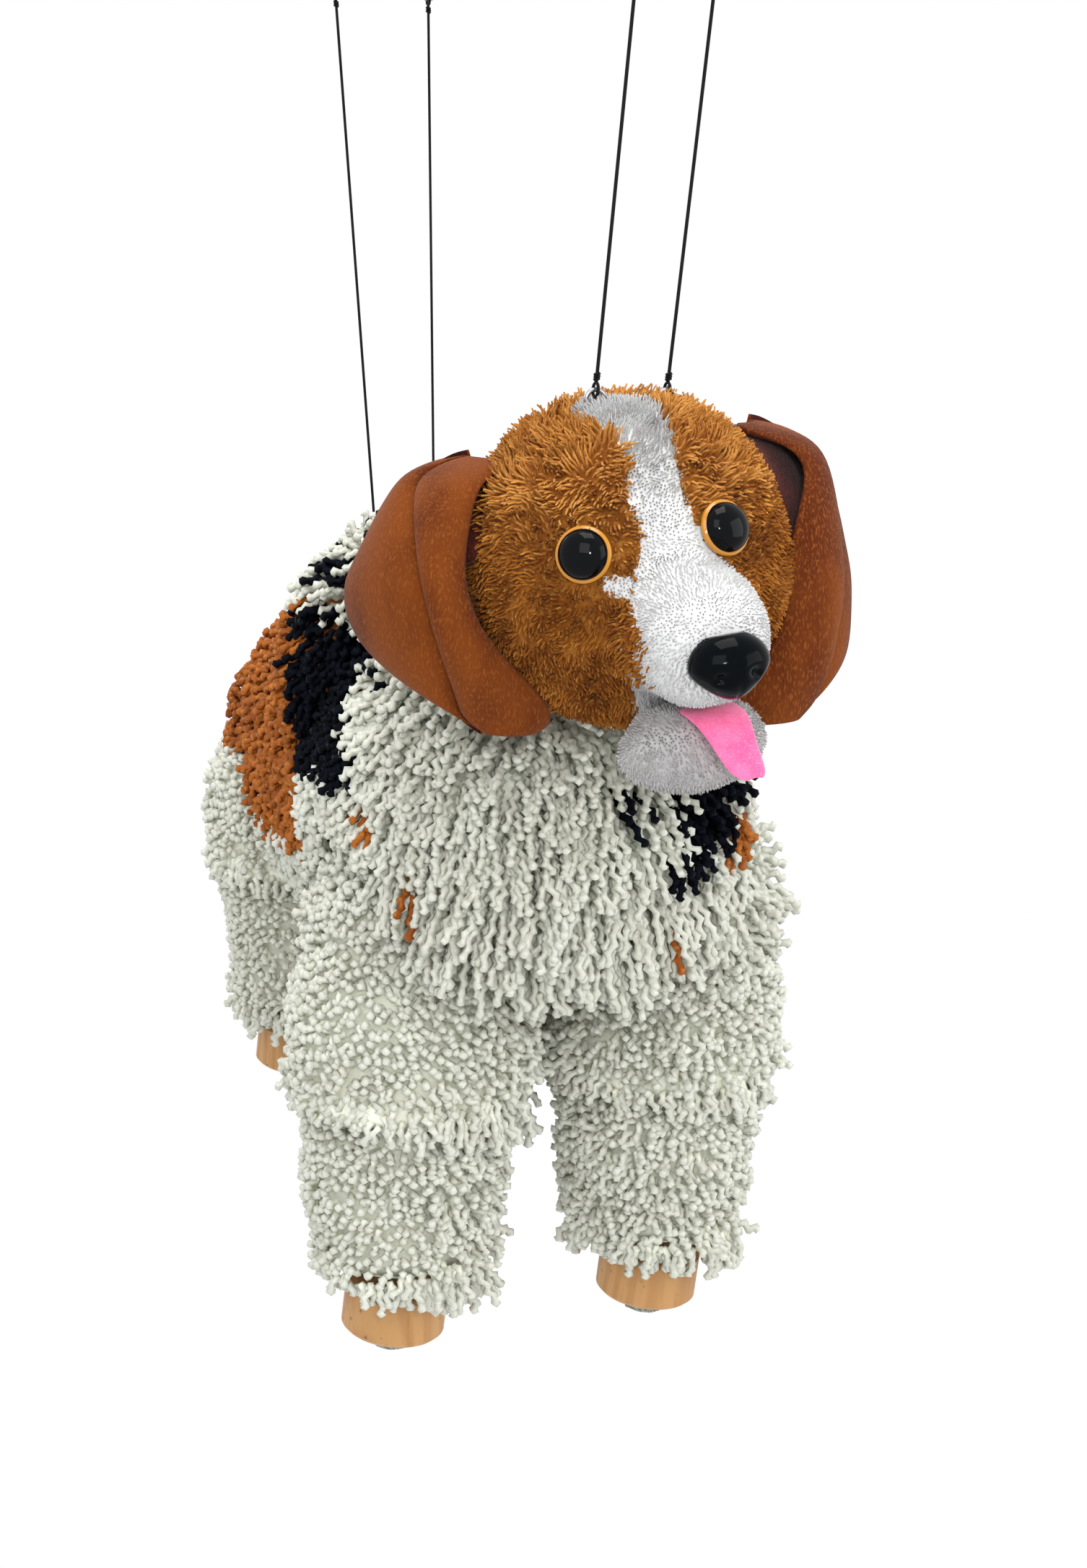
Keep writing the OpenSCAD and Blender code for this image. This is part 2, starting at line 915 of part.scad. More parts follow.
front_left_hip = [front_leg_half, front_leg_y, front_hip_z];
front_right_hip = [-front_leg_half, front_leg_y, front_hip_z];
hind_left_hip = [hind_leg_half, hind_leg_y, hind_hip_z];
hind_right_hip = [-hind_leg_half, hind_leg_y, hind_hip_z];
front_beam_half = front_leg_half + beam_over + 2 + soft_gap;
hind_beam_half = hind_leg_half + beam_over + 2 + soft_gap;

main_bar();
head_bar();
rump_bar();
bar_screws();
head_bar_eyes();
rump_bar_eyes();
head_string(1);  // head_string_left
head_string(-1);  // head_string_right
rump_string(1);  // rump_string_left
rump_string(-1);  // rump_string_right
head_form();
blaze();
muzzle();
lower_jaw();
tongue();
nose();
eye(1);  // eye_left
eye(-1);  // eye_right
eye_washers();
head_eyelets();
ear(1);  // ear_left
ear(-1);  // ear_right
chest_ruff();
saddle_band();
rump_band();
spine_rod();
shoulder_beam();
hip_beam();
rump_eyelets();
neck_cord();
tail_anchor();
tail_fringe();
tail_cord();
thigh(front_left_hip, front_beam_half);  // front_left_thigh
thigh_cord(front_left_hip);  // front_left_thigh_cord
shin(front_left_hip);  // front_left_shin
shin_cord(front_left_hip);  // front_left_shin_cord
foot(front_left_hip);  // front_left_foot
knot(front_left_hip);  // front_left_knot
thigh(front_right_hip, front_beam_half);  // front_right_thigh
thigh_cord(front_right_hip);  // front_right_thigh_cord
shin(front_right_hip);  // front_right_shin
shin_cord(front_right_hip);  // front_right_shin_cord
foot(front_right_hip);  // front_right_foot
knot(front_right_hip);  // front_right_knot
thigh(hind_left_hip, hind_beam_half);  // hind_left_thigh
thigh_cord(hind_left_hip);  // hind_left_thigh_cord
shin(hind_left_hip);  // hind_left_shin
shin_cord(hind_left_hip);  // hind_left_shin_cord
foot(hind_left_hip);  // hind_left_foot
knot(hind_left_hip);  // hind_left_knot
thigh(hind_right_hip, hind_beam_half);  // hind_right_thigh
thigh_cord(hind_right_hip);  // hind_right_thigh_cord
shin(hind_right_hip);  // hind_right_shin
shin_cord(hind_right_hip);  // hind_right_shin_cord
foot(hind_right_hip);  // hind_right_foot
knot(hind_right_hip);  // hind_right_knot
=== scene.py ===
"""Dresses the string marionette of a hound: plush head, yarn coat, felt ears, wood and steel."""
import logging
import math
from collections.abc import Callable
from dataclasses import dataclass, field
from enum import Enum
from itertools import product

import bmesh
import bpy
import numpy as np
from mathutils import Matrix, Vector, noise


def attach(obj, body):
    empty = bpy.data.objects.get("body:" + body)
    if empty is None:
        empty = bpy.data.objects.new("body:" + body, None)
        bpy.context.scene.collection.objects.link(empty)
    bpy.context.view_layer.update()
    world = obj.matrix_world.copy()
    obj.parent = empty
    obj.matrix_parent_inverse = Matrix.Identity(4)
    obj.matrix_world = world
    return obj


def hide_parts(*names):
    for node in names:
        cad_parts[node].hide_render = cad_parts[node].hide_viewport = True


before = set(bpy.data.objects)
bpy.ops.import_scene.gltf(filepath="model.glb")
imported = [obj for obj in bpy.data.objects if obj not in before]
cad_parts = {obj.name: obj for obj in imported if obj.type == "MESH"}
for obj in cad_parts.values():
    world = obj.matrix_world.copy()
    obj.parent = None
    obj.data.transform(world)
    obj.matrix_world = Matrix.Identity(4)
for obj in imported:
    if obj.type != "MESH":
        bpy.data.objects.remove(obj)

LOG = logging.getLogger("marionette")
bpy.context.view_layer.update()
MM = 0.001
DOWN = np.array([0.0, 0.0, -1.0])
FULL_TURN = 2 * math.pi
NOISE_SEED = 29

Array = np.ndarray
Chance = np.random.Generator
Colour = tuple[int, int, int]
Place = tuple[float, float, float]
Mesh = bmesh.types.BMesh
Piece = bpy.types.Object
Material = bpy.types.Material
Node = bpy.types.Node
NodeTree = bpy.types.NodeTree
Socket = bpy.types.NodeSocket

FLOAT, COLOUR, VECTOR = "NodeSocketFloat", "NodeSocketColor", "NodeSocketVector"


class Side(Enum):
    """The dog's own left and right."""

    LEFT = 1
    RIGHT = -1


class Tone(Enum):
    """Colours of the coat's yarn."""

    WHITE = "white"
    BLACK = "black"
    BROWN = "brown"


class Grain(Enum):
    """The way that wood grain runs, as a stretch of the pattern along X, Y and Z."""

    ALONG_X = (0.12, 1.0, 1.0)
    ALONG_Y = (1.0, 0.12, 1.0)
    ALONG_Z = (1.0, 1.0, 0.12)


def linear(rgb: Colour) -> tuple[float, float, float, float]:
    """Turns an 8-bit screen colour into a shader colour in linear light."""
    part = [c / 255 for c in rgb]
    red, green, blue = [c / 12.92 if c <= 0.04045 else ((c + 0.055) / 1.055) ** 2.4 for c in part]
    return (red, green, blue, 1.0)


def unit(vectors: Array) -> Array:
    """Scales the last axis of an array to unit length."""
    return vectors / np.maximum(np.linalg.norm(vectors, axis=-1, keepdims=True), 1e-9)


def bell(value: float, middle: float, width: float) -> float:
    """A smooth bump of height one round a middle."""
    return math.exp(-((value - middle) / width) ** 2)


def ramp(value: float, start: float, span: float) -> float:
    """Rises from zero at a start to one at the end of a span."""
    return min(1.0, max(0.0, value - start) / span)


def noise_at(points: Array, scale: float | tuple[float, float, float]) -> Array:
    """Smooth noise at every point, with the points scaled first."""
    return np.array([noise.noise(Vector(p)) for p in points * np.array(scale)])


def noise_vectors(points: Array, scale: float) -> Array:
    """Smooth noise vectors at every point, with the points scaled first."""
    return np.array([noise.noise_vector(Vector(p) * scale) for p in points])


def picked(rows: Array, *arrays: Array) -> tuple[Array, ...]:
    """The same rows of several arrays."""
    return tuple(array[rows] for array in arrays)


class Graph:
    """A short hand for wiring the nodes of one shader tree."""

    def __init__(self, tree: NodeTree) -> None:
        """Takes the tree that nodes are added to."""
        self.tree = tree

    def wire(self, socket: Socket, value: object) -> None:
        """Links a socket to the socket given, or sets it to the value given."""
        if isinstance(value, Socket):
            self.tree.links.new(value, socket)
        else:
            socket.default_value = value

    def fill(self, node: Node, **values: object) -> None:
        """Wires values to a node's inputs; underscores in a name stand for spaces."""
        for key, value in values.items():
            self.wire(node.inputs[key.replace("_", " ")], value)

    def add(self, kind: str, inputs: dict | None = None, **settings: object) -> Node:
        """Adds a node.

        Args:
            kind: The node's type name.
            inputs: Socket name or number to a value or to a socket that is linked in.
            settings: Properties of the node itself.

        Returns:
            The new node.
        """
        node = self.tree.nodes.new(kind)
        for key, value in settings.items():
            setattr(node, key, value)
        for key, value in (inputs or {}).items():
            self.wire(node.inputs[key], value)
        return node

    def blend(self, share: object, low: object, high: object, mode: str = "MIX") -> Socket:
        """Mixes two colours by a share and returns the colour socket."""
        return self.add("ShaderNodeMix", {0: share, 6: low, 7: high}, data_type="RGBA",
                        blend_type=mode).outputs[2]

    def spread(self, value: object, span: tuple[float, float], to: tuple[float, float]) -> Socket:
        """Maps a value smoothly from one span to another and returns the value socket."""
        return self.add("ShaderNodeMapRange", {
            "Value": value, "From Min": span[0], "From Max": span[1], "To Min": to[0],
            "To Max": to[1]}, interpolation_type="SMOOTHSTEP").outputs[0]

    def noise(self, vector: object, scale: object, detail: float = 2.0) -> Socket:
        """Adds a noise pattern and returns its value socket."""
        return self.add("ShaderNodeTexNoise", {
            "Vector": vector, "Scale": scale, "Detail": detail}).outputs[0]


def new_group(name: str, inputs: dict[str, str],
              outputs: dict[str, str]) -> tuple[Graph, bpy.types.NodeOutputs, Node]:
    """Starts a shader node group.

    Args:
        name: The group's name.
        inputs: Input names to socket types.
        outputs: Output names to socket types.

    Returns:
        The group's graph, the sockets that bring its inputs, and its output node.
    """
    tree = bpy.data.node_groups.new(name, "ShaderNodeTree")
    for way, sockets in (("INPUT", inputs), ("OUTPUT", outputs)):
        for key, kind in sockets.items():
            tree.interface.new_socket(key, in_out=way, socket_type=kind)
    graph = Graph(tree)
    return graph, graph.add("NodeGroupInput").outputs, graph.add("NodeGroupOutput")


def fibre_tone() -> NodeTree:
    """A group for uneven dye in clumps and single fibres, with a fine fibre height."""
    graph, given, result = new_group(
        "fibre_tone",
        {"Vector": VECTOR, "Dark": COLOUR, "Mid": COLOUR, "Light": COLOUR, "Clump": FLOAT,
         "Strand": FLOAT},
        {"Color": COLOUR, "Height": FLOAT})
    clump = graph.noise(given["Vector"], given["Clump"], 3.0)
    strand = graph.noise(given["Vector"], given["Strand"])
    tone = graph.blend(graph.spread(clump, (0.36, 0.62), (0.0, 1.0)), given["Dark"], given["Mid"])
    tone = graph.blend(graph.spread(strand, (0.48, 0.74), (0.0, 0.85)), tone, given["Light"])
    graph.fill(result, Color=tone, Height=strand)
    return graph.tree


def wood_grain() -> NodeTree:
    """A group for the year rings, streaks and pores of planed or turned wood."""
    graph, given, result = new_group(
        "wood_grain", {"Vector": VECTOR, "Pale": COLOUR, "Dark": COLOUR},
        {"Color": COLOUR, "Height": FLOAT, "Polish": FLOAT})
    rings = graph.add("ShaderNodeTexWave", {
        "Vector": given["Vector"], "Scale": 55.0, "Distortion": 7.0, "Detail": 3.0,
        "Detail Scale": 0.6}, wave_type="RINGS", rings_direction="SPHERICAL").outputs[1]
    streak = graph.noise(given["Vector"], 420.0, 4.0)
    pores = graph.noise(given["Vector"], 1500.0)
    tone = given["Pale"]
    for mark, span, depth in ((rings, (0.15, 0.95), 0.42), (streak, (0.5, 0.78), 0.4),
                              (pores, (0.62, 0.75), 0.35)):
        tone = graph.blend(graph.spread(mark, span, (0.0, depth)), tone, given["Dark"])
    graph.fill(result, Color=tone, Height=streak,
               Polish=graph.spread(streak, (0.3, 0.7), (0.42, 0.62)))
    return graph.tree


def handling_scuff() -> NodeTree:
    """A group for small handling marks and dust that break up a smooth surface."""
    graph, given, result = new_group(
        "handling_scuff", {"Vector": VECTOR, "Low": FLOAT, "High": FLOAT},
        {"Roughness": FLOAT, "Mask": FLOAT, "Height": FLOAT})
    smear = graph.noise(given["Vector"], 190.0, 4.0)
    dust = graph.noise(given["Vector"], 2600.0)
    rough = graph.add("ShaderNodeMapRange", {
        "Value": smear, "From Min": 0.35, "From Max": 0.7, "To Min": given["Low"],
        "To Max": given["High"]}).outputs[0]
    graph.fill(result, Roughness=rough, Height=smear,
               Mask=graph.spread(dust, (0.66, 0.78), (0.0, 1.0)))
    return graph.tree


FIBRE, GRAIN, SCUFF = fibre_tone(), wood_grain(), handling_scuff()


class Surface:
    """A material under construction: its graph, its shader and its Object coordinates."""

    def __init__(self, name: str) -> None:
        """Starts a material of this name with a Principled shader."""
        self.material = bpy.data.materials.new(name)
        self.material.use_nodes = True
        self.material.node_tree.nodes.clear()
        self.graph = Graph(self.material.node_tree)
        self.shader = self.graph.add("ShaderNodeBsdfPrincipled")
        self.graph.add("ShaderNodeOutputMaterial", {"Surface": self.shader.outputs[0]})
        self.place = self.graph.add("ShaderNodeTexCoord").outputs["Object"]

    def set(self, **values: object) -> None:
        """Sets or links shader sockets; underscores in a name stand for spaces."""
        self.graph.fill(self.shader, **values)

    def stretched(self, scale: Place) -> Socket:
        """Object coordinates stretched along the axes given."""
        return self.graph.add("ShaderNodeMapping", {
            "Vector": self.place, "Scale": scale}).outputs[0]

    def group(self, tree: NodeTree, **inputs: object) -> bpy.types.NodeOutputs:
        """Places a shared node group with this material's own values."""
        return self.graph.add("ShaderNodeGroup", inputs, node_tree=tree).outputs

    def bump(self, height: Socket, depth: float, strength: float = 0.6) -> None:
        """Feeds a height into the shader's normal.

        Args:
            height: The socket that gives the height.
            depth: Height of the relief in metres.
            strength: Strength of the relief.
        """
        self.set(Normal=self.graph.add("ShaderNodeBump", {
            "Height": height, "Distance": depth, "Strength": strength}).outputs[0])


@dataclass(frozen=True)
class Finish:
    """A finish, which makes one material."""

    name: str

    def dress(self, surface: Surface) -> None:
        """Wires the finish's own nodes."""
        raise NotImplementedError

    def material(self) -> Material:
        """Builds the material.

        Returns:
            The finished material.
        """
        surface = Surface(self.name)
        self.dress(surface)
        return surface.material


@dataclass(frozen=True)
class PileFinish(Finish):
    """Yarn, plush or felt: dyed fibres, with painted shade or painted light at their roots."""

    dark: Colour
    mid: Colour
    light: Colour
    clump: float = 70.0
    strand: float = 900.0
    rough: float = 0.7
    sheen: float = 0.25
    specular: float = 0.3
    painted_root_shading: float = 1.0
    stretch: Place = (1.0, 1.0, 1.0)
    relief: float = 0.0004

    def dress(self, surface: Surface) -> None:
        """Wires dye, painted root shading and fibre relief."""
        tone = surface.group(
            FIBRE, Vector=surface.stretched(self.stretch), Dark=linear(self.dark),
            Mid=linear(self.mid), Light=linear(self.light), Clump=self.clump, Strand=self.strand)
        colour = tone["Color"]
        # Painted light and shade: near the root the colour is multiplied by the painted root
        # shading. Below one it is painted shade between the fibres; above one it is painted light
        # in the gaps.
        if self.painted_root_shading != 1:
            along = surface.graph.add("ShaderNodeAttribute", attribute_name="along").outputs["Fac"]
            root_shading_factor = surface.graph.spread(along, (0.0, 0.6), (self.painted_root_shading, 1.0))
            colour = surface.graph.blend(1.0, colour, root_shading_factor, "MULTIPLY")
        surface.set(Base_Color=colour, Roughness=self.rough, Sheen_Weight=self.sheen,
                    Sheen_Roughness=0.5, Specular_IOR_Level=self.specular)
        surface.bump(tone["Height"], self.relief)


@dataclass(frozen=True)
class WoodFinish(Finish):
    """Bare sanded wood with its grain along one axis."""

    pale: Colour
    dark: Colour
    grain: Grain
    spots: float = 0.0
    stain: Colour = (96, 58, 30)

    def dress(self, surface: Surface) -> None:
        """Wires grain, stained spots and sanding relief."""
        grain = surface.group(GRAIN, Vector=surface.stretched(self.grain.value),
                              Pale=linear(self.pale), Dark=linear(self.dark))
        colour = grain["Color"]
        if self.spots > 0:
            fleck = surface.graph.noise(surface.place, 260.0, 1.0)
            share = surface.graph.spread(fleck, (0.68, 0.76), (0.0, self.spots))
            colour = surface.graph.blend(share, colour, linear(self.stain))
        surface.set(Base_Color=colour, Roughness=grain["Polish"], Specular_IOR_Level=0.35)
        surface.bump(grain["Height"], 0.0003, 0.5)


@dataclass(frozen=True)
class SmoothFinish(Finish):
    """Moulded plastic, steel or glaze with small handling marks."""

    colour: Colour
    dust: Colour
    rough: tuple[float, float] = (0.1, 0.2)
    metallic: float = 0.0
    coat: float = 0.0
    specular: float = 0.5
    dust_share: float = 0.15
    relief: float = 0.00005

    def dress(self, surface: Surface) -> None:
        """Wires dust, uneven gloss and a faint relief."""
        scuff = surface.group(SCUFF, Vector=surface.place, Low=self.rough[0], High=self.rough[1])
        share = surface.graph.add("ShaderNodeMath", {0: scuff["Mask"], 1: self.dust_share},
                                  operation="MULTIPLY").outputs[0]
        surface.set(Base_Color=surface.graph.blend(share, linear(self.colour), linear(self.dust)),
                    Roughness=scuff["Roughness"], Metallic=self.metallic, Coat_Weight=self.coat,
                    Coat_Roughness=0.05, Specular_IOR_Level=self.specular)
        surface.bump(scuff["Height"], self.relief, 0.3)


@dataclass(frozen=True)
class CordFinish(Finish):
    """Twisted cord or thread: slanting plies with fine fuzz, and painted shade in the grooves
    between plies.
    """

    colour: Colour
    groove: Colour
    plies: float = 900.0
    rough: float = 0.65

    def dress(self, surface: Surface) -> None:
        """Wires plies, painted shade in their grooves, and fuzz."""
        graph, groove = surface.graph, linear(self.groove)
        ply = graph.add("ShaderNodeTexWave", {
            "Vector": surface.place, "Scale": self.plies, "Distortion": 1.0, "Detail": 1.0,
        }, bands_direction="DIAGONAL").outputs[1]
        fuzz = graph.noise(surface.place, 2400.0)
        # Painted shade: the colour falls to the groove colour between the plies.
        colour = graph.blend(graph.spread(ply, (0.1, 0.7), (0.0, 1.0)), groove,
                             linear(self.colour))
        colour = graph.blend(graph.spread(fuzz, (0.55, 0.8), (0.0, 0.3)), colour, groove)
        surface.set(Base_Color=colour, Roughness=self.rough, Specular_IOR_Level=0.2)
        surface.bump(ply, 0.0003, 0.5)


@dataclass(frozen=True)
class FloorFinish(Finish):
    """A pale matt floor with faint blotches."""

    rough: float = 0.9

    def dress(self, surface: Surface) -> None:
        """Wires the blotches."""
        blotch = surface.graph.noise(surface.place, 40.0, 3.0)
        pale = surface.graph.blend(blotch, (0.84, 0.84, 0.84, 1), (0.88, 0.88, 0.87, 1))
        surface.set(Base_Color=pale, Roughness=self.rough)


# A pile finish's tenth value, where given, is its painted root shading.
FINISHES: dict[str, Material] = {finish.name: finish.material() for finish in (
    PileFinish("yarn_white", (200, 200, 185), (208, 209, 195), (217, 218, 206), 45.0, 420.0,
               0.32, 0.0, 0.6, 1.45),
    PileFinish("yarn_black", (3, 5, 11), (6, 9, 17), (16, 20, 32), 45.0, 420.0,
               0.6, 0.0, 0.05, 0.7),
    PileFinish("yarn_brown", (138, 72, 22), (164, 92, 30), (190, 120, 52), 45.0, 420.0,
               0.55, 0.0, 0.14, 0.75),
    PileFinish("plush_brown", (122, 66, 15), (156, 94, 30), (180, 122, 50), 75.0, 420.0,
               0.8, 0.04, 0.1, 0.9),
    # A lighter copy of plush_brown for the crown: painted light from above.
    PileFinish("plush_gold", (169, 108, 43), (199, 137, 62), (215, 159, 86), 75.0, 420.0,
               0.8, 0.04, 0.1),
    PileFinish("plush_white", (194, 193, 192), (201, 201, 199), (208, 208, 207), 60.0, 900.0,
               0.85, 0.05, 0.1, 1.25),
    # A darker copy of plush_white for the chin pad: painted shade under the snout.
    PileFinish("plush_chin", (173, 169, 167), (185, 182, 181), (199, 197, 197), 60.0, 900.0,
               0.85, 0.05, 0.1),
    PileFinish("felt_brown", (84, 35, 10), (119, 59, 18), (136, 75, 30), 36.0, 1500.0,
               0.9, 0.05, 0.08, stretch=(1.0, 1.0, 0.35), relief=0.0005),
    # Dark felt for the ear's inner side and for the sheet tucked under its top: painted shade
    # inside the ear.
    PileFinish("felt_lining", (58, 18, 14), (78, 28, 20), (98, 44, 30), 90.0, 1500.0,
               0.95, 0.2, 0.1, relief=0.0005),
    PileFinish("felt_pink", (238, 92, 146), (250, 115, 165), (254, 140, 184), 110.0, 1700.0,
               0.9, 0.35, 0.15, relief=0.0003),
    SmoothFinish("eye_black", (4, 5, 7), (40, 40, 44), (0.015, 0.05), specular=0.12,
                 dust_share=0.05),
    SmoothFinish("eye_amber", (190, 124, 14), (96, 54, 8), (0.08, 0.18), coat=0.5, dust_share=0.3),
    SmoothFinish("nose_black", (3, 6, 9), (60, 62, 66), (0.04, 0.14), specular=0.06,
                 dust_share=0.1, relief=0.0002),
    SmoothFinish("steel", (178, 178, 180), (110, 108, 104), (0.2, 0.42), metallic=1.0,
                 dust_share=0.4),
    SmoothFinish("washer_plastic", (226, 224, 214), (180, 176, 164), (0.4, 0.6), dust_share=0.3),
    WoodFinish("control_wood", (222, 184, 132), (176, 126, 74), Grain.ALONG_Y),
    WoodFinish("control_cross_wood", (222, 184, 132), (176, 126, 74), Grain.ALONG_X),
    WoodFinish("foot_wood", (186, 140, 88), (158, 108, 60), Grain.ALONG_Z, 0.55),
    CordFinish("string_black", (10, 12, 13), (4, 5, 6), 1400.0),
    CordFinish("cord_white", (214, 210, 196), (150, 146, 132), 500.0),
    CordFinish("knot_grey", (158, 156, 142), (112, 110, 98), 420.0, 0.5),
    FloorFinish("floor_pale"),
)}


def to_object(name: str, bm: Mesh, *finishes: str, smooth: bool = True) -> Piece:
    """Turns a bmesh into a linked object at the origin.

    Args:
        name: The piece's name.
        bm: The mesh, which is freed.
        finishes: Names of the finishes in its material slots.
        smooth: Whether the faces are shaded smooth.

    Returns:
        The new object.
    """
    mesh = bpy.data.meshes.new(name)
    bm.to_mesh(mesh)
    bm.free()
    mesh.polygons.foreach_set("use_smooth", [smooth] * len(mesh.polygons))
    for finish in finishes:
        mesh.materials.append(FINISHES[finish])
    return linked(name, mesh)


def linked(name: str, data: bpy.types.ID) -> Piece:
    """Makes an object of a mesh, curve, lamp or camera and links it to the scene."""
    piece = bpy.data.objects.new(name, data)
    bpy.context.scene.collection.objects.link(piece)
    return piece


def settle(piece: Piece, body: str, slot: str, *nodes: str) -> Piece:
    """Ties a piece to its body and hides the CAD nodes that it stands for.

    Args:
        piece: The piece.
        body: The CAD body that it moves with.
        slot: The record's material slot; not used.
        nodes: CAD nodes that it replaces.

    Returns:
        The same piece.
    """
    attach(piece, body)
    if nodes:
        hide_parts(*nodes)
    LOG.info("%s rides on %s", piece.name, body)
    return piece


def baked(piece: Piece) -> bpy.types.Mesh:
    """Applies a scratch object's modifiers and removes the object.

    Args:
        piece: The scratch object, a mesh or a curve.

    Returns:
        The mesh with its modifiers applied.
    """
    bpy.context.view_layer.update()
    graph = bpy.context.evaluated_depsgraph_get()
    mesh = bpy.data.meshes.new_from_object(piece.evaluated_get(graph))
    data = piece.data
    bpy.data.objects.remove(piece)
    (bpy.data.curves if isinstance(data, bpy.types.Curve) else bpy.data.meshes).remove(data)
    return mesh


def opened(mesh: bpy.types.Mesh) -> Mesh:
    """Opens a scratch mesh for editing and removes it."""
    bm = bmesh.new()
    bm.from_mesh(mesh)
    bpy.data.meshes.remove(mesh)
    return bm


def node_copy(name: str) -> Mesh:
    """A merged copy of a CAD node's mesh, in the shared frame."""
    bm = bmesh.new()
    bm.from_mesh(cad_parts[name].data)
    bmesh.ops.remove_doubles(bm, verts=bm.verts, dist=2e-6)
    bm.normal_update()
    return bm


def sink(bm: Mesh, depth: float, outside: Callable[[Array, Array], Array]) -> None:
    """Moves the outer skin of a mesh inwards, to back the yarn that is tied there.

    Args:
        bm: The mesh.
        depth: How far the skin moves.
        outside: Tells from places and normals which points are on the outer skin.
    """
    bm.normal_update()
    verts = list(bm.verts)
    outer = outside(np.array([v.co for v in verts]), np.array([v.normal for v in verts]))
    for vert, is_outer in zip(verts, outer.tolist()):
        if is_outer:
            vert.co -= vert.normal * depth


def surface_points(bm: Mesh, spacing: float, rng: Chance) -> tuple[Array, Array]:
    """Spreads evenly spaced points over a mesh.

    Args:
        bm: The mesh.
        spacing: Least distance between two points.
        rng: Seeded source of chance.

    Returns:
        Points and outward normals, one row each.
    """
    tries_per_cell = 3.2
    corners, normals = [], []
    for face in bm.faces:
        verts = [v.co for v in face.verts]
        for i in range(1, len(verts) - 1):
            corners.append((verts[0], verts[i], verts[i + 1]))
            normals.append(face.normal)
    first, second, third = np.array(corners, dtype=float).transpose(1, 0, 2)
    area = 0.5 * np.linalg.norm(np.cross(second - first, third - first), axis=1)
    count = int(tries_per_cell * area.sum() / spacing ** 2)
    pick = rng.choice(len(first), count, p=area / area.sum())
    u, v = rng.random((2, count))
    over = u + v > 1
    u[over], v[over] = 1 - u[over], 1 - v[over]
    first, second, third = picked(pick, first, second, third)
    points = first + u[:, None] * (second - first) + v[:, None] * (third - first)
    kept = thinned(points, spacing)
    return points[kept], unit(np.array(normals, dtype=float)[pick][kept])


def thinned(points: Array, spacing: float) -> Array:
    """Picks points so that no two lie closer than a spacing.

    Args:
        points: Candidate points.
        spacing: Least distance.

    Returns:
        Row numbers of the points that stay.
    """
    cells: dict[tuple[int, ...], list[list[float]]] = {}
    kept = []
    keys = np.floor(points / spacing).astype(int)
    around = list(product((-1, 0, 1), repeat=3))
    limit = spacing * spacing
    for row, (point, key) in enumerate(zip(points.tolist(), keys.tolist())):
        x, y, z = point
        near = any((p[0] - x) ** 2 + (p[1] - y) ** 2 + (p[2] - z) ** 2 < limit
                   for i, j, k in around
                   for p in cells.get((key[0] + i, key[1] + j, key[2] + k), ()))
        if not near:
            cells.setdefault(tuple(key), []).append(point)
            kept.append(row)
    return np.array(kept, dtype=int)


def tubes(name: str, paths: Array, radius: float, shares: Array) -> Mesh:
    """Makes a closed four-sided tube along every path.

    Args:
        name: Name of the scratch curve.
        paths: Points of every path, strands by points by three.
        radius: Radius of a tube where its share is one.
        shares: Radius share at each point of a path.

    Returns:
        A mesh with the float attribute "along", from zero at the root to one at the tip.
    """
    strands, points = paths.shape[:2]
    curve = bpy.data.curves.new(name, "CURVE")
    curve.dimensions = "3D"
    curve.bevel_depth = radius
    curve.bevel_resolution = 0
    places = np.ones((strands, points, 4))
    places[:, :, :3] = paths
    for row in places:
        spline = curve.splines.new("POLY")
        spline.points.add(points - 1)
        spline.points.foreach_set("co", row.ravel())
        spline.points.foreach_set("radius", shares)
    mesh = baked(linked(name, curve))
    ring = len(mesh.vertices) // (strands * points)
    along = np.tile(np.repeat(np.linspace(0, 1, points), ring), strands).astype(np.float32)
    mesh.attributes.new("along", "FLOAT", "POINT").data.foreach_set("value", along)
    bm = opened(mesh)
    bmesh.ops.remove_doubles(bm, verts=bm.verts, dist=2.5e-5)
    return bm


def joined(first: Mesh, second: Mesh, material: int = 0) -> Mesh:
    """Adds one mesh to another.

    Args:
        first: The mesh that grows.
        second: The mesh that is added, which is freed.
        material: Material slot of the added faces.

    Returns:
        The first mesh.
    """
    # Faces without fibres, such as backing skins, read "along" as zero and take the full painted
    # root shading of their finish.
    if "along" not in first.verts.layers.float:
        first.verts.layers.float.new("along")
    for face in second.faces:
        face.material_index = material
    scratch = bpy.data.meshes.new("scratch")
    second.to_mesh(scratch)
    second.free()
    first.from_mesh(scratch)
    bpy.data.meshes.remove(scratch)
    return first


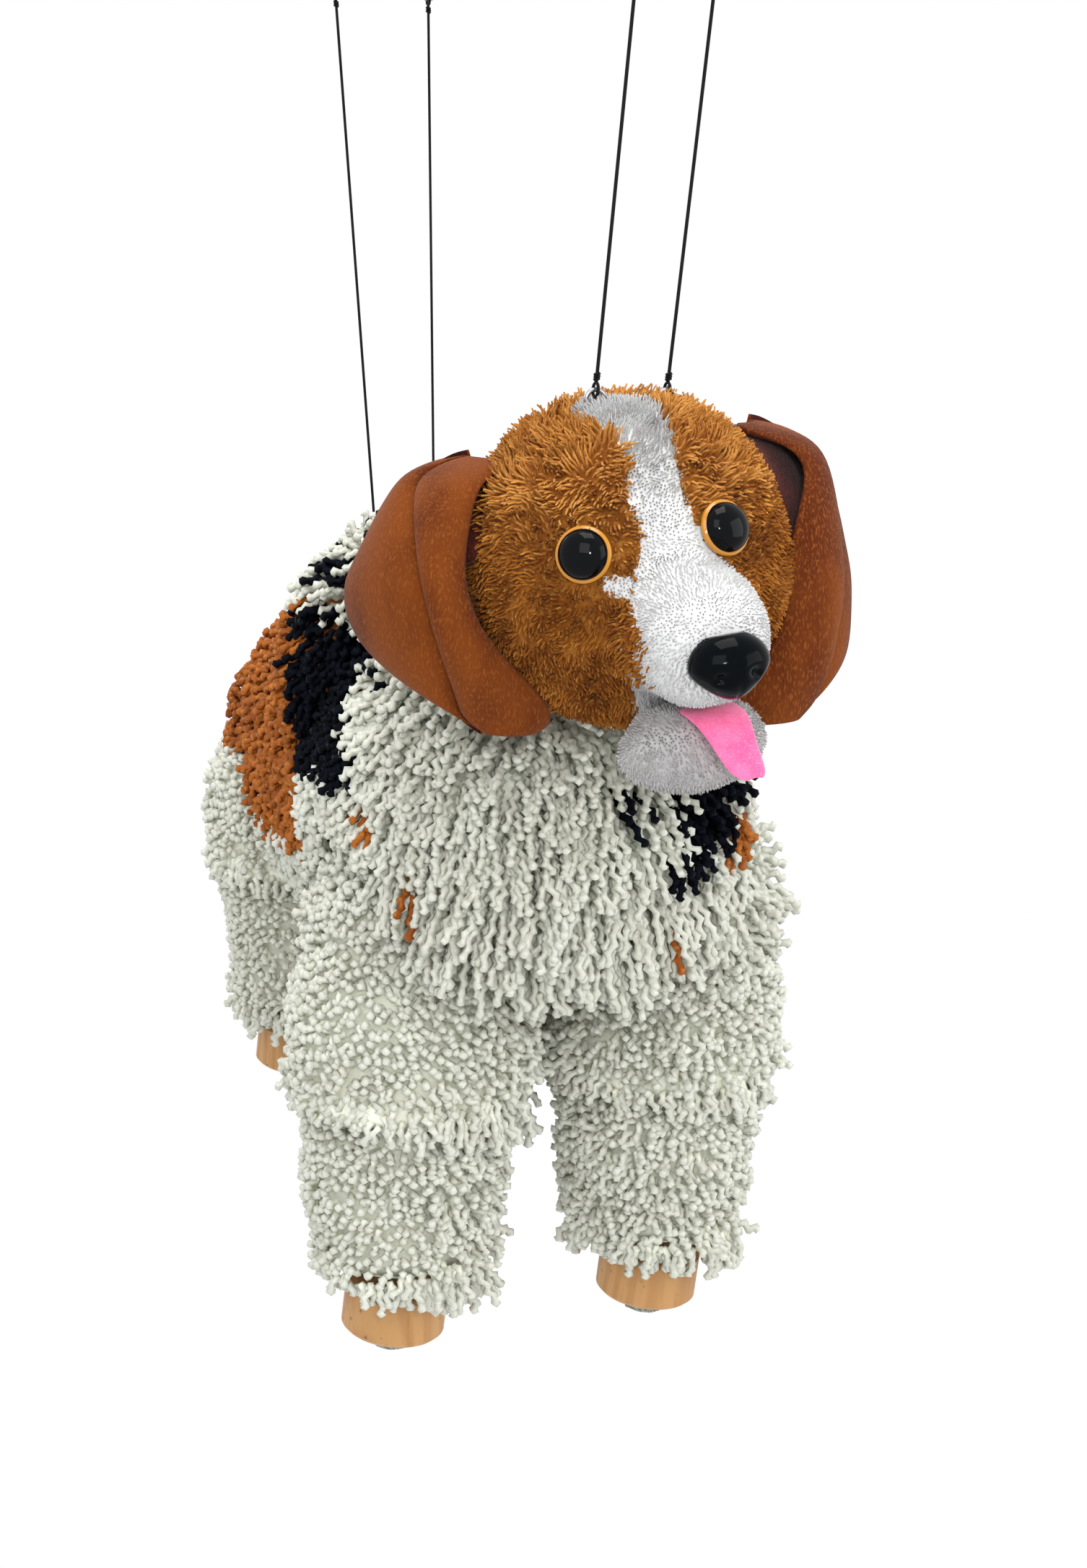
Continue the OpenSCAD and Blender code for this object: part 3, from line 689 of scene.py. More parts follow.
@dataclass(frozen=True)
class Yarn:
    """Curly yarn in cut lengths: its size and how a strand stands and falls."""

    hang: float = 0.38
    spread: float = 0.2
    drift: float = 0.4
    clump: float = 38.0
    radius: float = 1.6 * MM
    curl: float = 0.95 * MM
    bead: float = 2.9 * MM
    knob: float = 1.1
    waist: float = 0.78
    tied: float = 0.8 * MM
    twist: float = 0.88 * math.pi
    most_beads: int = 11

    def shares(self, points: int) -> Array:
        """Radius shares along a strand: closed ends, a row of beads and a blunt cut tip."""
        share = np.where(np.arange(points) % 2, self.knob, self.waist)
        share[0], share[-1], share[-2] = 0.01, 0.01, 1.0
        return share

    def paths(self, roots: Array, normals: Array, lengths: Array, lifts: Array, points: int,
              rng: Chance) -> Array:
        """Lays the centre lines of strands that have the same number of points.

        Args:
            roots: Where each strand is tied.
            normals: Outward direction at each root.
            lengths: Length of each strand.
            lifts: How far each strand stands off at its root, from zero to one.
            points: Points along each strand.
            rng: Seeded source of chance.

        Returns:
            Points of every strand, strands by points by three.
        """
        count = len(roots)
        t = np.linspace(0, 1, points)
        order = np.arange(points)
        aim = DOWN + self.drift * noise_vectors(roots, self.clump)
        inward = np.minimum(np.sum(aim * normals, axis=1, keepdims=True), 0)
        fall = unit(aim - normals * inward + self.spread * rng.normal(size=(count, 3)))
        share = lifts[:, None] * (self.hang + (1 - self.hang) * (1 - t[None, :]) ** 1.4)
        way = unit(normals[:, None] * share[..., None] + fall[:, None] * (1 - share)[..., None])
        sway = unit(np.cross(way, rng.normal(size=(count, 1, 3))))
        step = unit(way + self.spread * sway * t[None, :, None])
        step = (lengths / (points - 1))[:, None, None] * step
        step[:, -2] *= 0.35
        line = roots[:, None] - self.tied * normals[:, None] + np.concatenate(
            [np.zeros((count, 1, 3)), np.cumsum(step[:, :-1], axis=1)], axis=1)
        across = unit(np.cross(way, rng.normal(size=(count, 1, 3))))
        other = np.cross(way, across)
        turn = rng.uniform(0, FULL_TURN, (count, 1)) + self.twist * (order // 2)[None, :]
        turn[:, -1] = turn[:, -2]
        grip = self.curl * (np.minimum(1, 5 * t) * (order % 2))[None, :]
        grip[:, -1] = grip[:, -2]
        return line + (grip * np.cos(turn))[..., None] * across \
            + (grip * np.sin(turn))[..., None] * other

    def strands(self, name: str, roots: Array, normals: Array, lengths: Array,
                lifts: Array | float, fit: Callable[[Array], Array], rng: Chance) -> Mesh:
        """Makes strands of several lengths as one mesh.

        Args:
            name: Name of the scratch curve.
            roots: Where each strand is tied.
            normals: Outward direction at each root.
            lengths: Length of each strand.
            lifts: How far each strand stands off at its root.
            fit: Keeps laid points out of a neighbour's room.
            rng: Seeded source of chance.

        Returns:
            The strands' mesh.
        """
        cut = lengths * rng.uniform(0.85, 1.12, len(roots))
        lifts = np.broadcast_to(lifts, len(roots))
        counts = 2 * np.clip(np.rint(cut / self.bead), 2, self.most_beads).astype(int) + 2
        bm = bmesh.new()
        for points in np.unique(counts).tolist():
            rows = picked(counts == points, roots, normals, cut, lifts)
            paths = fit(self.paths(*rows, points, rng))
            joined(bm, tubes(name, paths, self.radius, self.shares(points)))
        return bm


def moved(place: Place) -> Matrix:
    """A shift to a place given in millimetres."""
    return Matrix.Translation(Vector(place) * MM)


def raised(height: float) -> Matrix:
    """A shift along Z, in millimetres."""
    return Matrix.Translation((0, 0, height * MM))


def turned(degrees: float, axis: str) -> Matrix:
    """A turn about one axis."""
    return Matrix.Rotation(math.radians(degrees), 4, axis)


def scaled(x: float, y: float, z: float) -> Matrix:
    """A scale that makes a unit ball this many millimetres in half size."""
    return Matrix.Diagonal((x * MM, y * MM, z * MM, 1))


def spanned(bm: Mesh, rows: list[list[bmesh.types.BMVert]]) -> list[bmesh.types.BMFace]:
    """Spans faces between neighbouring rows of points, with normals that agree."""
    faces = [bm.faces.new((low[k], low[k + 1], high[k + 1], high[k]))
             for low, high in zip(rows, rows[1:]) for k in range(len(low) - 1)]
    bmesh.ops.recalc_face_normals(bm, faces=faces)
    return faces


def soften(piece: Piece, levels: int = 2) -> None:
    """Rounds a felt sheet with a subdivision surface."""
    soft = piece.modifiers.new("soft", "SUBSURF")
    soft.levels = soft.render_levels = levels


def thicken(piece: Piece, thickness: float, offset: float) -> bpy.types.SolidifyModifier:
    """Gives a felt sheet its thickness, in millimetres, and returns the modifier."""
    wall = piece.modifiers.new("wall", "SOLIDIFY")
    wall.thickness = thickness * MM
    wall.offset = offset
    return wall


@dataclass(frozen=True)
class Pile:
    """Short plush pile with combed, clumped tips. Sizes are in millimetres."""

    length: float
    crown: float
    radius: float
    swirls: float
    tied: float = 0.6
    comb: float = 0.3

    def grow(self, name: str, roots: Array, normals: Array, crown: Array, rng: Chance) -> Mesh:
        """Grows one bent tuft on every root.

        Args:
            name: Name of the scratch curve.
            roots: Root of each tuft.
            normals: Outward direction at each root.
            crown: How much of the crown's extra length each tuft gets.
            rng: Seeded source of chance.

        Returns:
            The tufts' mesh.
        """
        count = len(roots)
        lower, upper = 0.55, 0.45
        swirl = noise_vectors(roots, 70.0) + noise_vectors(roots, 260.0)
        comb = self.comb * DOWN + self.swirls * swirl + 0.08 * rng.normal(size=(count, 3))
        comb -= normals * np.sum(comb * normals, axis=1, keepdims=True)
        tall = (self.length + self.crown * crown) * MM
        tall = (tall * rng.uniform(0.75, 1.2, count))[:, None]
        base = roots - self.tied * MM * normals
        bend = base + lower * tall * unit(1.1 * normals + 0.5 * comb)
        tip = bend + upper * tall * unit(0.8 * normals + comb)
        return tubes(name, np.stack([base, bend, tip], axis=1), self.radius * MM,
                     np.array([1.0, 0.95, 0.6]))


@dataclass
class Head:
    """The stuffed head: plush ball, snout, chin pad, eyes, nose and tongue.

    Sizes are in millimetres, and places are in the face's own frame. The blaze has rows of height,
    middle and half width, the eye's outline has radius and height, and the tongue has rows of
    place and width.
    """

    centre: Place = (0.0, -132.0, -225.0)
    tilt: float = 8.0
    radius: float = 53.4
    snout_base: Place = (0.0, -28.0, -10.0)
    snout_dip: float = 6.0
    snout_r: tuple[float, float] = (27.0, 21.0)
    snout_straight: float = 36.0
    snout_round: float = 19.0
    jaw: Place = (0.0, -47.0, -52.0)
    jaw_size: Place = (24.0, 14.5, 14.5)
    eye_aim: Place = (23.0, -47.0, 15.5)
    eye_shift: float = -8.0
    eye_r: float = 9.0
    eye_seat: float = 55.0
    dome_r: float = 7.95
    dome_base: float = 1.15
    dome_h: float = 5.0
    nose: Place = (0.0, -83.0, -18.0)
    nose_size: Place = (13.0, 10.0, 10.5)
    nose_room: float = 11.0
    brown_gap: float = 1.05
    white_gap: float = 0.85
    brown_pile: Pile = Pile(3.2, 3.2, 0.46, 1.4)
    white_pile: Pile = Pile(1.5, 2.0, 0.36, 0.5)
    chin_pile: Pile = Pile(1.9, 0.0, 0.36, 0.5)
    seed: int = 11
    blaze: tuple[Place, ...] = (
        (-60.0, 0.0, 6.0), (-36.0, 0.0, 15.0), (-17.0, 0.0, 21.5), (1.0, -0.5, 18.5),
        (12.0, -2.0, 11.5), (20.0, -3.0, 9.0), (29.0, -3.4, 9.0), (40.0, -0.5, 8.4),
        (47.0, 0.5, 9.5), (51.0, -3.0, 14.5), (58.0, -4.0, 15.0),
    )
    eye_outline: tuple[tuple[float, float], ...] = (
        (0.0, -14.0), (2.4, -14.0), (2.4, -1.2), (8.6, -1.0), (9.0, -0.4), (9.0, 0.6), (8.6, 1.1),
        (8.0, 1.15),
    )
    tongue: tuple[tuple[float, float, float, float], ...] = (
        (3.0, -50.0, -38.8, 18.0), (3.0, -57.0, -38.6, 18.5), (3.2, -64.0, -39.2, 18.5),
        (3.4, -69.5, -42.0, 16.5), (4.0, -72.8, -46.4, 14.5), (5.0, -74.8, -51.0, 13.0),
        (6.4, -76.4, -55.0, 11.5), (7.8, -77.4, -57.6, 6.0),
    )

    def frame(self) -> Matrix:
        """The face's own frame, tilted in the head."""
        return moved(self.centre) @ turned(-self.tilt, "Y")

    def eye_place(self, side: Side) -> Matrix:
        """Where an eye sits, its own Z pointing out of the face."""
        x, y, z = self.eye_aim
        aim = Vector((side.value * x + self.eye_shift, y, z)).normalized()
        turn = aim.to_track_quat("Z", "Y").to_matrix().to_4x4()
        return self.frame() @ Matrix.Translation(aim * self.eye_seat * MM) @ turn

    def white_share(self, x: float, y: float, z: float) -> float:
        """How far a place on the face lies inside the white blaze and muzzle.

        Args:
            x: Sideways place in the face's frame, in millimetres.
            y: Depth in the face's frame.
            z: Height in the face's frame.

        Returns:
            A positive distance inside the white, or a negative one outside it.
        """
        heights, middles, halves = zip(*self.blaze)
        middle = float(np.interp(z, heights, middles))
        half = float(np.interp(z, heights, halves))
        inside = half - abs(x - middle) - 0.7 * max(0.0, y + 8.0)
        wedge = 3.2 - math.hypot(0.5 * (x + 19.0), z - 4.0) if y < -30 else -10.0
        return max(inside, wedge)

    def skin(self) -> Mesh:
        """The sewn and stuffed skin under the pile: ball and snout blended into one form."""
        bm = bmesh.new()
        bmesh.ops.create_icosphere(bm, subdivisions=5, radius=self.radius * MM)
        lean = moved(self.snout_base) @ turned(90 + self.snout_dip, "X")
        wide, narrow = self.snout_r
        bmesh.ops.create_cone(
            bm, cap_ends=True, segments=48, radius1=wide * MM, radius2=narrow * MM,
            depth=self.snout_straight * MM, matrix=lean @ raised(self.snout_straight / 2))
        bmesh.ops.create_uvsphere(
            bm, u_segments=40, v_segments=24, radius=1.0,
            matrix=lean @ raised(self.snout_straight) @ scaled(narrow, narrow, self.snout_round))
        bmesh.ops.transform(bm, matrix=self.frame(), verts=bm.verts)
        scratch = to_object("head_scratch", bm)
        remesh = scratch.modifiers.new("remesh", "REMESH")
        remesh.mode = "VOXEL"
        remesh.voxel_size = 2.2 * MM
        smooth = scratch.modifiers.new("smooth", "SMOOTH")
        smooth.iterations = 9
        smooth.factor = 0.6
        skin = opened(baked(scratch))
        skin.normal_update()
        for vert in skin.verts:
            swell = noise.noise(vert.co * 60.0) * 0.9 + noise.noise(vert.co * 160.0) * 0.35
            vert.co += vert.normal * swell * MM
        skin.normal_update()
        return skin

    def build_plush(self, rng: Chance) -> None:
        """Makes the brown and white plush of the head and snout."""
        inverse = self.frame().inverted()
        skin = self.skin()
        for face in skin.faces:
            local = inverse @ face.calc_center_median() / MM
            face.material_index = int(self.white_share(*local) > 0)
        roots, normals = surface_points(skin, self.white_gap * MM, rng)
        local = np.array([inverse @ Vector(p) for p in roots]) / MM
        share = np.array([self.white_share(*p) for p in local]) + rng.normal(0, 0.7, len(local))
        bare = [(self.eye_place(side).translation, self.eye_r + 0.6) for side in Side]
        bare.append((self.frame() @ (Vector(self.nose) * MM), self.nose_room))
        clear = np.ones(len(roots), bool)
        for middle, reach in bare:
            clear &= np.linalg.norm(roots - np.array(middle), axis=1) > reach * MM
        brown = np.flatnonzero(clear & (share <= 0))
        brown = brown[thinned(roots[brown], self.brown_gap * MM)]
        front = local[brown, 1] < -4
        # Tufts high on the head take the lighter copy of the brown plush: painted light from above.
        painted_light_rows = local[brown, 2] + rng.normal(0, 7.0, len(brown)) > 24
        crown = np.clip((local[:, 2] - 12) / 34, 0, 1)
        tufts = {}
        for zone, rows in (("front", front & ~painted_light_rows), ("back", ~front & ~painted_light_rows), ("crown", painted_light_rows)):
            tufts[zone] = self.brown_pile.grow(
                f"tufts_{zone}", *picked(brown[rows], roots, normals, crown), rng)
        head = to_object("head_plush", joined(skin, tufts["front"]), "plush_brown", "plush_white")
        settle(head, "head", "plush_brown", "head_form")
        for zone, finish in (("back", "plush_brown"), ("crown", "plush_gold")):
            settle(to_object(f"head_plush_{zone}", tufts[zone], finish), "head", "plush_brown")
        rows = picked(clear & (share > 0), roots, normals, crown ** 2)
        fluff = self.white_pile.grow("tufts_white", *rows, rng)
        face = to_object("face_white_plush", fluff, "plush_white")
        settle(face, "head", "plush_white", "blaze", "muzzle")

    def build_jaw(self, rng: Chance) -> None:
        """Makes the white chin pad under the tongue, its plush a darker copy of the white as
        painted shade under the snout.
        """
        bm = bmesh.new()
        bmesh.ops.create_icosphere(bm, subdivisions=4, radius=1.0,
                                   matrix=self.frame() @ moved(self.jaw) @ scaled(*self.jaw_size))
        bm.normal_update()
        for vert in bm.verts:
            vert.co += vert.normal * noise.noise(vert.co * 90.0) * 0.9 * MM
        bm.normal_update()
        roots, normals = surface_points(bm, self.white_gap * MM, rng)
        fluff = self.chin_pile.grow("tufts_jaw", roots, normals, np.zeros(len(roots)), rng)
        jaw = to_object("chin_plush", joined(bm, fluff), "plush_chin")
        settle(jaw, "head", "plush_white", "lower_jaw")

    def build_eyes(self) -> None:
        """Makes the two plastic eyes: a black dome in an amber rim, on a shank."""
        outline = [*self.eye_outline, *(
            (self.dome_r * math.cos(a), self.dome_base + self.dome_h * math.sin(a))
            for a in np.linspace(0.08, math.pi / 2, 9))]
        for side in Side:
            bm = bmesh.new()
            verts = [bm.verts.new((max(r, 0.0) * MM, 0, z * MM)) for r, z in outline]
            edges = [bm.edges.new(pair) for pair in zip(verts, verts[1:])]
            bmesh.ops.spin(bm, geom=verts + edges, axis=(0, 0, 1), cent=(0, 0, 0),
                           angle=FULL_TURN, steps=48, use_merge=True)
            bmesh.ops.remove_doubles(bm, verts=bm.verts, dist=1e-6)
            bmesh.ops.recalc_face_normals(bm, faces=bm.faces)
            for face in bm.faces:
                middle = face.calc_center_median() / MM
                rim = middle.z < self.dome_base + 0.15 and math.hypot(*middle.xy) > 8.02
                face.material_index = int(rim)
            bmesh.ops.transform(bm, matrix=self.eye_place(side), verts=bm.verts)
            name = f"eye_{side.name.lower()}"
            eye = to_object(f"{name}_dome", bm, "eye_black", "eye_amber")
            settle(eye, "head", "eye_black", name)

    def build_nose(self) -> None:
        """Makes the glossy nose: wide and flat on top, narrow below, with two nostrils."""
        bm = bmesh.new()
        bmesh.ops.create_uvsphere(bm, u_segments=56, v_segments=36, radius=1.0)
        wide, deep, high = self.nose_size
        for vert in bm.verts:
            x, y, z = vert.co
            x *= 1.0 - 0.42 * max(0.0, -z) ** 1.3
            z = min(z, 0.8 + 0.1 * z)
            dent = sum(math.exp(-(((x - s * 0.42) / 0.17) ** 2 + ((z + 0.28) / 0.16) ** 2))
                       for s in (-1, 1))
            groove = bell(x, 0.0, 0.07) * max(0.0, -z) * 0.5
            y += (0.3 * dent + 0.16 * groove) if y < 0 else 0.0
            vert.co = Vector((x * wide, y * deep, z * high)) * MM
        bmesh.ops.transform(bm, matrix=self.frame() @ moved(self.nose) @ turned(-10, "X"),
                            verts=bm.verts)
        settle(to_object("nose_cap", bm, "nose_black"), "head", "eye_black", "nose")

    def build_tongue(self) -> None:
        """Makes the felt tongue, bent over the lip with its tip curled aside."""
        bm = bmesh.new()
        rows = []
        for x, y, z, width in self.tongue:
            across = [k / 3 - 1 for k in range(7)]
            cups = [0.8 * (1 - u * u) for u in across]
            rows.append([bm.verts.new(Vector((x + u * width / 2, y - cup * 0.5, z + cup)) * MM)
                         for u, cup in zip(across, cups)])
        spanned(bm, rows)
        bmesh.ops.transform(bm, matrix=self.frame(), verts=bm.verts)
        area = sum(face.calc_area() for face in bm.faces)
        tongue = to_object("tongue_felt", bm, "felt_pink")
        thicken(tongue, 1.4, 0.0)
        soften(tongue)
        settle(tongue, "head", "felt_pink", "tongue")

    def build(self) -> None:
        """Makes every piece of the head."""
        rng = np.random.default_rng(self.seed)
        self.build_plush(rng)
        self.build_jaw(rng)
        self.build_eyes()
        self.build_nose()
        self.build_tongue()


@dataclass
class Ear:
    """A felt ear: a back lobe, a crease, a front strip folded over it and, under its top, a dark
    sheet that is painted shade.

    Sizes are in millimetres. A row has its place along the ear, then back edge, crease, front edge
    and height off the head. Lobe, strip and shade sheet have shares of a row's width and lifts.
    """

    side: Side
    centre: Place = (-45.9, 32.1, -6.0)
    turn: float = -52.0
    felt: float = 1.9
    bow: float = 0.0085
    bow_middle: float = 12.0
    plane: float = 40.6
    sweep: float = 0.6
    droop: float = 0.184
    reach: float = 0.0
    flare: float = 0.0
    rise: float = 1.0
    curl: float = 8.0
    widen: float = 0.0
    corner: float = 0.0
    notch: float = 0.0
    under_shade_sheet: tuple[float, float] = (5.0, 43.0)
    rows: tuple[tuple[float, float, float, float, float], ...] = (
        (44.5, 25.0, 26.0, 38.0, 11.0),
        (42.5, 14.0, 19.0, 41.0, 16.0),
        (37.0, 1.5, 9.0, 35.0, 25.0),
        (31.0, -4.5, 6.0, 31.0, 31.0),
        (20.0, -9.5, 8.0, 27.5, 39.0),
        (8.0, -13.5, 10.6, 26.0, 44.0),
        (-1.0, -19.0, 13.5, 28.0, 46.0),
        (-10.0, -21.0, 16.2, 32.0, 46.0),
        (-20.0, -18.6, 19.5, 42.0, 44.0),
        (-28.5, -9.2, 22.5, 53.0, 41.0),
        (-35.0, 4.0, 25.0, 59.5, 38.0),
        (-40.5, 22.0, 26.5, 60.0, 36.0),
        (-44.5, 34.0, 36.0, 54.0, 35.0),
    )
    lobe: tuple[tuple[float, float], ...] = (
        (0.0, -3.5), (0.12, -0.8), (0.4, 1.6), (0.7, 1.2), (0.9, -1.2))
    strip: tuple[tuple[float, float], ...] = (
        (0.0, -4.6), (0.02, 1.2), (0.12, 3.6), (0.4, 5.0), (0.7, 3.8), (0.92, 0.6), (1.0, -3.0))
    shade_sheet: tuple[tuple[float, float], ...] = ((-0.3, -4.0), (0.2, -7.0), (0.6, -9.0), (1.0, -10.0))

    def place(self, x: float, y: float, height: float, lift: float) -> Vector:
        """Turns a place on the spread ear into the shared frame.

        Args:
            x: Place across the ear.
            y: Place along the ear.
            height: Height of the row's bow off the head.
            lift: Height over the bow.

        Returns:
            The place in metres.
        """
        middle = self.sweep * (self.plane - height) + self.bow_middle
        bowed = height - self.bow * (x - middle) ** 2
        across = x - self.sweep * (self.plane - bowed)
        along = y - self.droop * (self.plane - bowed)
        turn = math.radians(self.turn)
        forward = Vector((math.cos(turn), math.sin(turn), 0))
        out = Vector((math.sin(turn), -math.cos(turn), 0))
        local = Vector(self.centre) + forward * across + out * (bowed + lift)
        local += Vector((0, 0, along))
        local.x *= -self.side.value
        return (Vector(HEAD.centre) + local) * MM

    def build(self) -> None:
        """Makes the ear."""
        bm = bmesh.new()
        felt, shade_sheet = [], []
        for y, back, crease, edge, height in self.rows:
            back -= self.widen * bell(y, 2.0, 22.0)
            front = edge + self.reach * bell(y, 4.0, 28.0)
            cut = front - self.notch * bell(y, 29.0, 8.0)
            height += self.corner * ramp(abs(y), 14.0, 16.0) * ramp(height, 0.0, 20.0)
            height += self.flare * (1 - y / 40.0) * ramp(height, 11.0, 25.0)
            under_shade_sheet = self.under_shade_sheet[0] < y < self.under_shade_sheet[1]
            y += self.rise * ramp(y, 5.0, 30.0)
            curl = self.curl * bell(y, 36.0, 9.0)
            flat = ramp(crease - back, 0.0, 10.0)
            row = [self.place(back + u * (crease - back), y, height, lift * flat)
                   for u, lift in self.lobe]
            row += [self.place(crease + u * (cut - crease), y, height,
                               lift * ramp(height, 0.0, 30.0) + curl * max(0.0, u - 0.3) ** 2)
                    for u, lift in self.strip]
            # The tucked dark sheet is painted shade in the fold under the ear's top.
            if under_shade_sheet:
                tuck = [self.place(crease + u * (front - crease), y, height, lift)
                        for u, lift in self.shade_sheet]
                shade_sheet.append([bm.verts.new(p) for p in tuck])
            felt.append([bm.verts.new(p) for p in row])
        for slot, rows in enumerate((felt, shade_sheet)):
            faces = spanned(bm, rows)
            for face in faces:
                face.material_index = slot
            middle = faces[len(faces) // 2]
            if middle.normal.dot(middle.calc_center_median() - Vector(HEAD.centre) * MM) < 0:
                bmesh.ops.reverse_faces(bm, faces=faces)
        area = sum(face.calc_area() for face in bm.faces)
        name = f"ear_{self.side.name.lower()}"
        ear = to_object(f"{name}_felt", bm, "felt_brown", "felt_lining")
        soften(ear)
        wall = thicken(ear, self.felt, -1.0)
        # The inner side of the felt takes the dark felt: painted shade inside the ear.
        wall.material_offset = 1
        wall.material_offset_rim = 0
        settle(ear, name, "felt_brown", name)


@dataclass(frozen=True)
class Room:
    """A round place that yarn is kept out of, in millimetres."""

    centre: Place
    radius: float

    def push(self, paths: Array) -> Array:
        """Moves the points of strands out of the round place."""
        middle = np.array(self.centre) * MM
        offset = paths - middle
        reach = np.linalg.norm(offset, axis=-1, keepdims=True)
        return middle + offset * np.maximum(1.0, self.radius * MM / np.maximum(reach, 1e-9))


@dataclass(frozen=True)
class Patch:
    """A patch of colour on the back: millimetres from the shoulders, degrees from the top."""

    tone: Tone
    start: float
    end: float
    inner: float
    outer: float
    lean: float = 0.0
    stripe: float = 0.0

    def covers(self, s: Array, side: Array) -> Array:
        """Tells which places lie in the patch, or in its stripes if it has them."""
        start = self.start - self.lean * np.clip(side - 55, 0, 30)
        inside = (s > start) & (s <= self.end) & (side > self.inner) & (side < self.outer)
        return inside & (np.sin(s / self.stripe) > 0.75) if self.stripe else inside


def metres(*millimetres: float) -> Array:
    """A default for a dataclass field: a place given in millimetres, as an array in metres."""
    return field(default_factory=lambda: np.array(millimetres) * MM)


@dataclass
class Torso:
    """The shaggy body: a pear of curly yarn in white, black and brown.

    Its form is in metres and its levels, spots and strand lengths are in millimetres. A spot has
    its place from the front, its radius and its colour.
    """

    shoulder: Array = metres(0.0, -34.0, -328.5)
    slope: float = math.radians(8.2)
    length: float = 150 * MM
    shoulder_r: float = 80 * MM
    rump_r: float = 84 * MM
    mane: Array = metres(0.0, 18.0, -294.0)
    mane_size: Array = metres(84.0, 66.0, 66.0)
    gap: float = 3.3 * MM
    ruff_gap: float = 2.95 * MM
    skin: float = 1.0 * MM
    sunk: float = 3.0 * MM
    bib_root: float = -338.0
    bib_low: float = -374.0
    belly_low: float = -416.0
    short: float = 12.5
    stand: float = 0.66
    front: float = -30.0
    seed: int = 23
    patches: tuple[Patch, ...] = (
        Patch(Tone.BLACK, -8.0, 36.0, -1.0, 82.0, lean=0.9),
        Patch(Tone.BROWN, 36.0, math.inf, -1.0, 104.0),
        Patch(Tone.WHITE, -40.0, 66.0, -1.0, 46.0),
        Patch(Tone.BLACK, -30.0, 42.0, 34.0, 38.0),
        Patch(Tone.BLACK, -30.0, 42.0, 43.0, 50.0),
        Patch(Tone.BLACK, -20.0, 58.0, -1.0, 30.0, stripe=3.2),
    )
    spots: tuple[tuple[float, float, float, Tone], ...] = (
        (38.0, -311.0, 14.0, Tone.BLACK), (30.0, -328.0, 7.0, Tone.BLACK),
        (7.0, -307.0, 4.0, Tone.BLACK), (57.0, -326.0, 9.0, Tone.BROWN),
        (31.0, -351.0, 3.2, Tone.BROWN), (58.0, -300.0, 8.0, Tone.BLACK),
        (-71.0, -322.0, 4.0, Tone.BROWN), (-58.0, -341.0, 2.6, Tone.BROWN),
    )
    nodes: tuple[tuple[str, Tone], ...] = (
        ("chest_ruff", Tone.WHITE), ("saddle_band", Tone.BLACK), ("rump_band", Tone.BROWN))

    def axis(self) -> Array:
        """Direction along the back, from shoulders to rump."""
        return np.array([0, math.cos(self.slope), -math.sin(self.slope)])

    def along(self, points: Array) -> Array:
        """Millimetres of points along the back, from the shoulders."""
        return (points - self.shoulder) @ self.axis() / MM

    def angle(self, points: Array) -> Array:
        """Degrees of points round the back, zero on top and positive on the dog's left."""
        up = (points - self.shoulder) @ np.array([0, math.sin(self.slope), math.cos(self.slope)])
        return np.degrees(np.arctan2(points[:, 0], up))

    def depth(self, points: Array) -> Array:
        """Distance of points outside the bare body, its pear and its mane; negative inside it.

        Args:
            points: Places in the shared frame.

        Returns:
            One distance for each place.
        """
        axis = self.axis()
        lean = math.asin((self.shoulder_r - self.rump_r) / self.length)
        offset = points - self.shoulder
        s = offset @ axis
        r = np.linalg.norm(offset - s[:, None] * axis, axis=1)
        foot = np.clip(s - r * -math.tan(lean), 0, self.length)
        middle = self.shoulder + foot[:, None] * axis
        pear = np.linalg.norm(points - middle, axis=1) - (
            self.shoulder_r + (self.rump_r - self.shoulder_r) * foot / self.length)
        share = (points - self.mane) / self.mane_size
        reach = np.linalg.norm(share, axis=1)
        steep = np.linalg.norm(share / self.mane_size, axis=1)
        return np.minimum(pear, (reach - 1) * reach / np.maximum(steep, 1e-9))

    def on_skin(self, points: Array, _: Array) -> Array:
        """Tells which points lie on the bare body's skin."""
        return np.abs(self.depth(points)) < self.skin

    def tones(self, roots: Array, rng: Chance) -> Array:
        """Gives every strand its colour.

        Args:
            roots: Where the strands are tied.
            rng: Seeded source of chance.

        Returns:
            One tone for each strand.
        """
        s = self.along(roots) + rng.normal(0, 2.0, len(roots))
        side = np.abs(self.angle(roots) + rng.normal(0, 1.5, len(roots)))
        tones = np.full(len(roots), Tone.WHITE, dtype=object)
        for patch in self.patches:
            tones[patch.covers(s, side)] = patch.tone
        for x, z, reach, tone in self.spots:
            near = np.hypot(roots[:, 0] / MM - x, roots[:, 2] / MM - z) < reach
            tones[near & (s < self.front)] = tone
        return tones

    def cut(self, roots: Array) -> tuple[Array, Array]:
        """Gives every strand its length and how far it stands off: long on the bib and the belly.

        Args:
            roots: Where the strands are tied.

        Returns:
            Lengths in metres and shares of standing.
        """
        s, side, level = self.along(roots), np.abs(self.angle(roots)), roots[:, 2] / MM
        front = np.clip((-15 - s) / 25, 0, 1)
        mane = np.clip((48 - side) / 8, 0, 1) * np.clip((s + 45) / 15, 0, 1) \
            * np.clip((66 - s) / 12, 0, 1)
        flank = np.clip((np.abs(roots[:, 0]) / MM - 48) / 24, 0, 1)
        bib = level > self.bib_root
        room = level - np.where(bib, self.bib_low, self.belly_low)
        layer = np.clip(1.1 * room, 15, np.where(bib, 26, 34)) * (1 - 0.35 * flank)
        stand = np.where(bib, np.interp(room, (36, 60), (0.85, 0.6)), 0.62)
        lengths = self.short + (layer - self.short) * front + 4 * mane
        lifts = self.stand + (stand - self.stand) * front + 0.1 * mane
        return lengths * MM, lifts

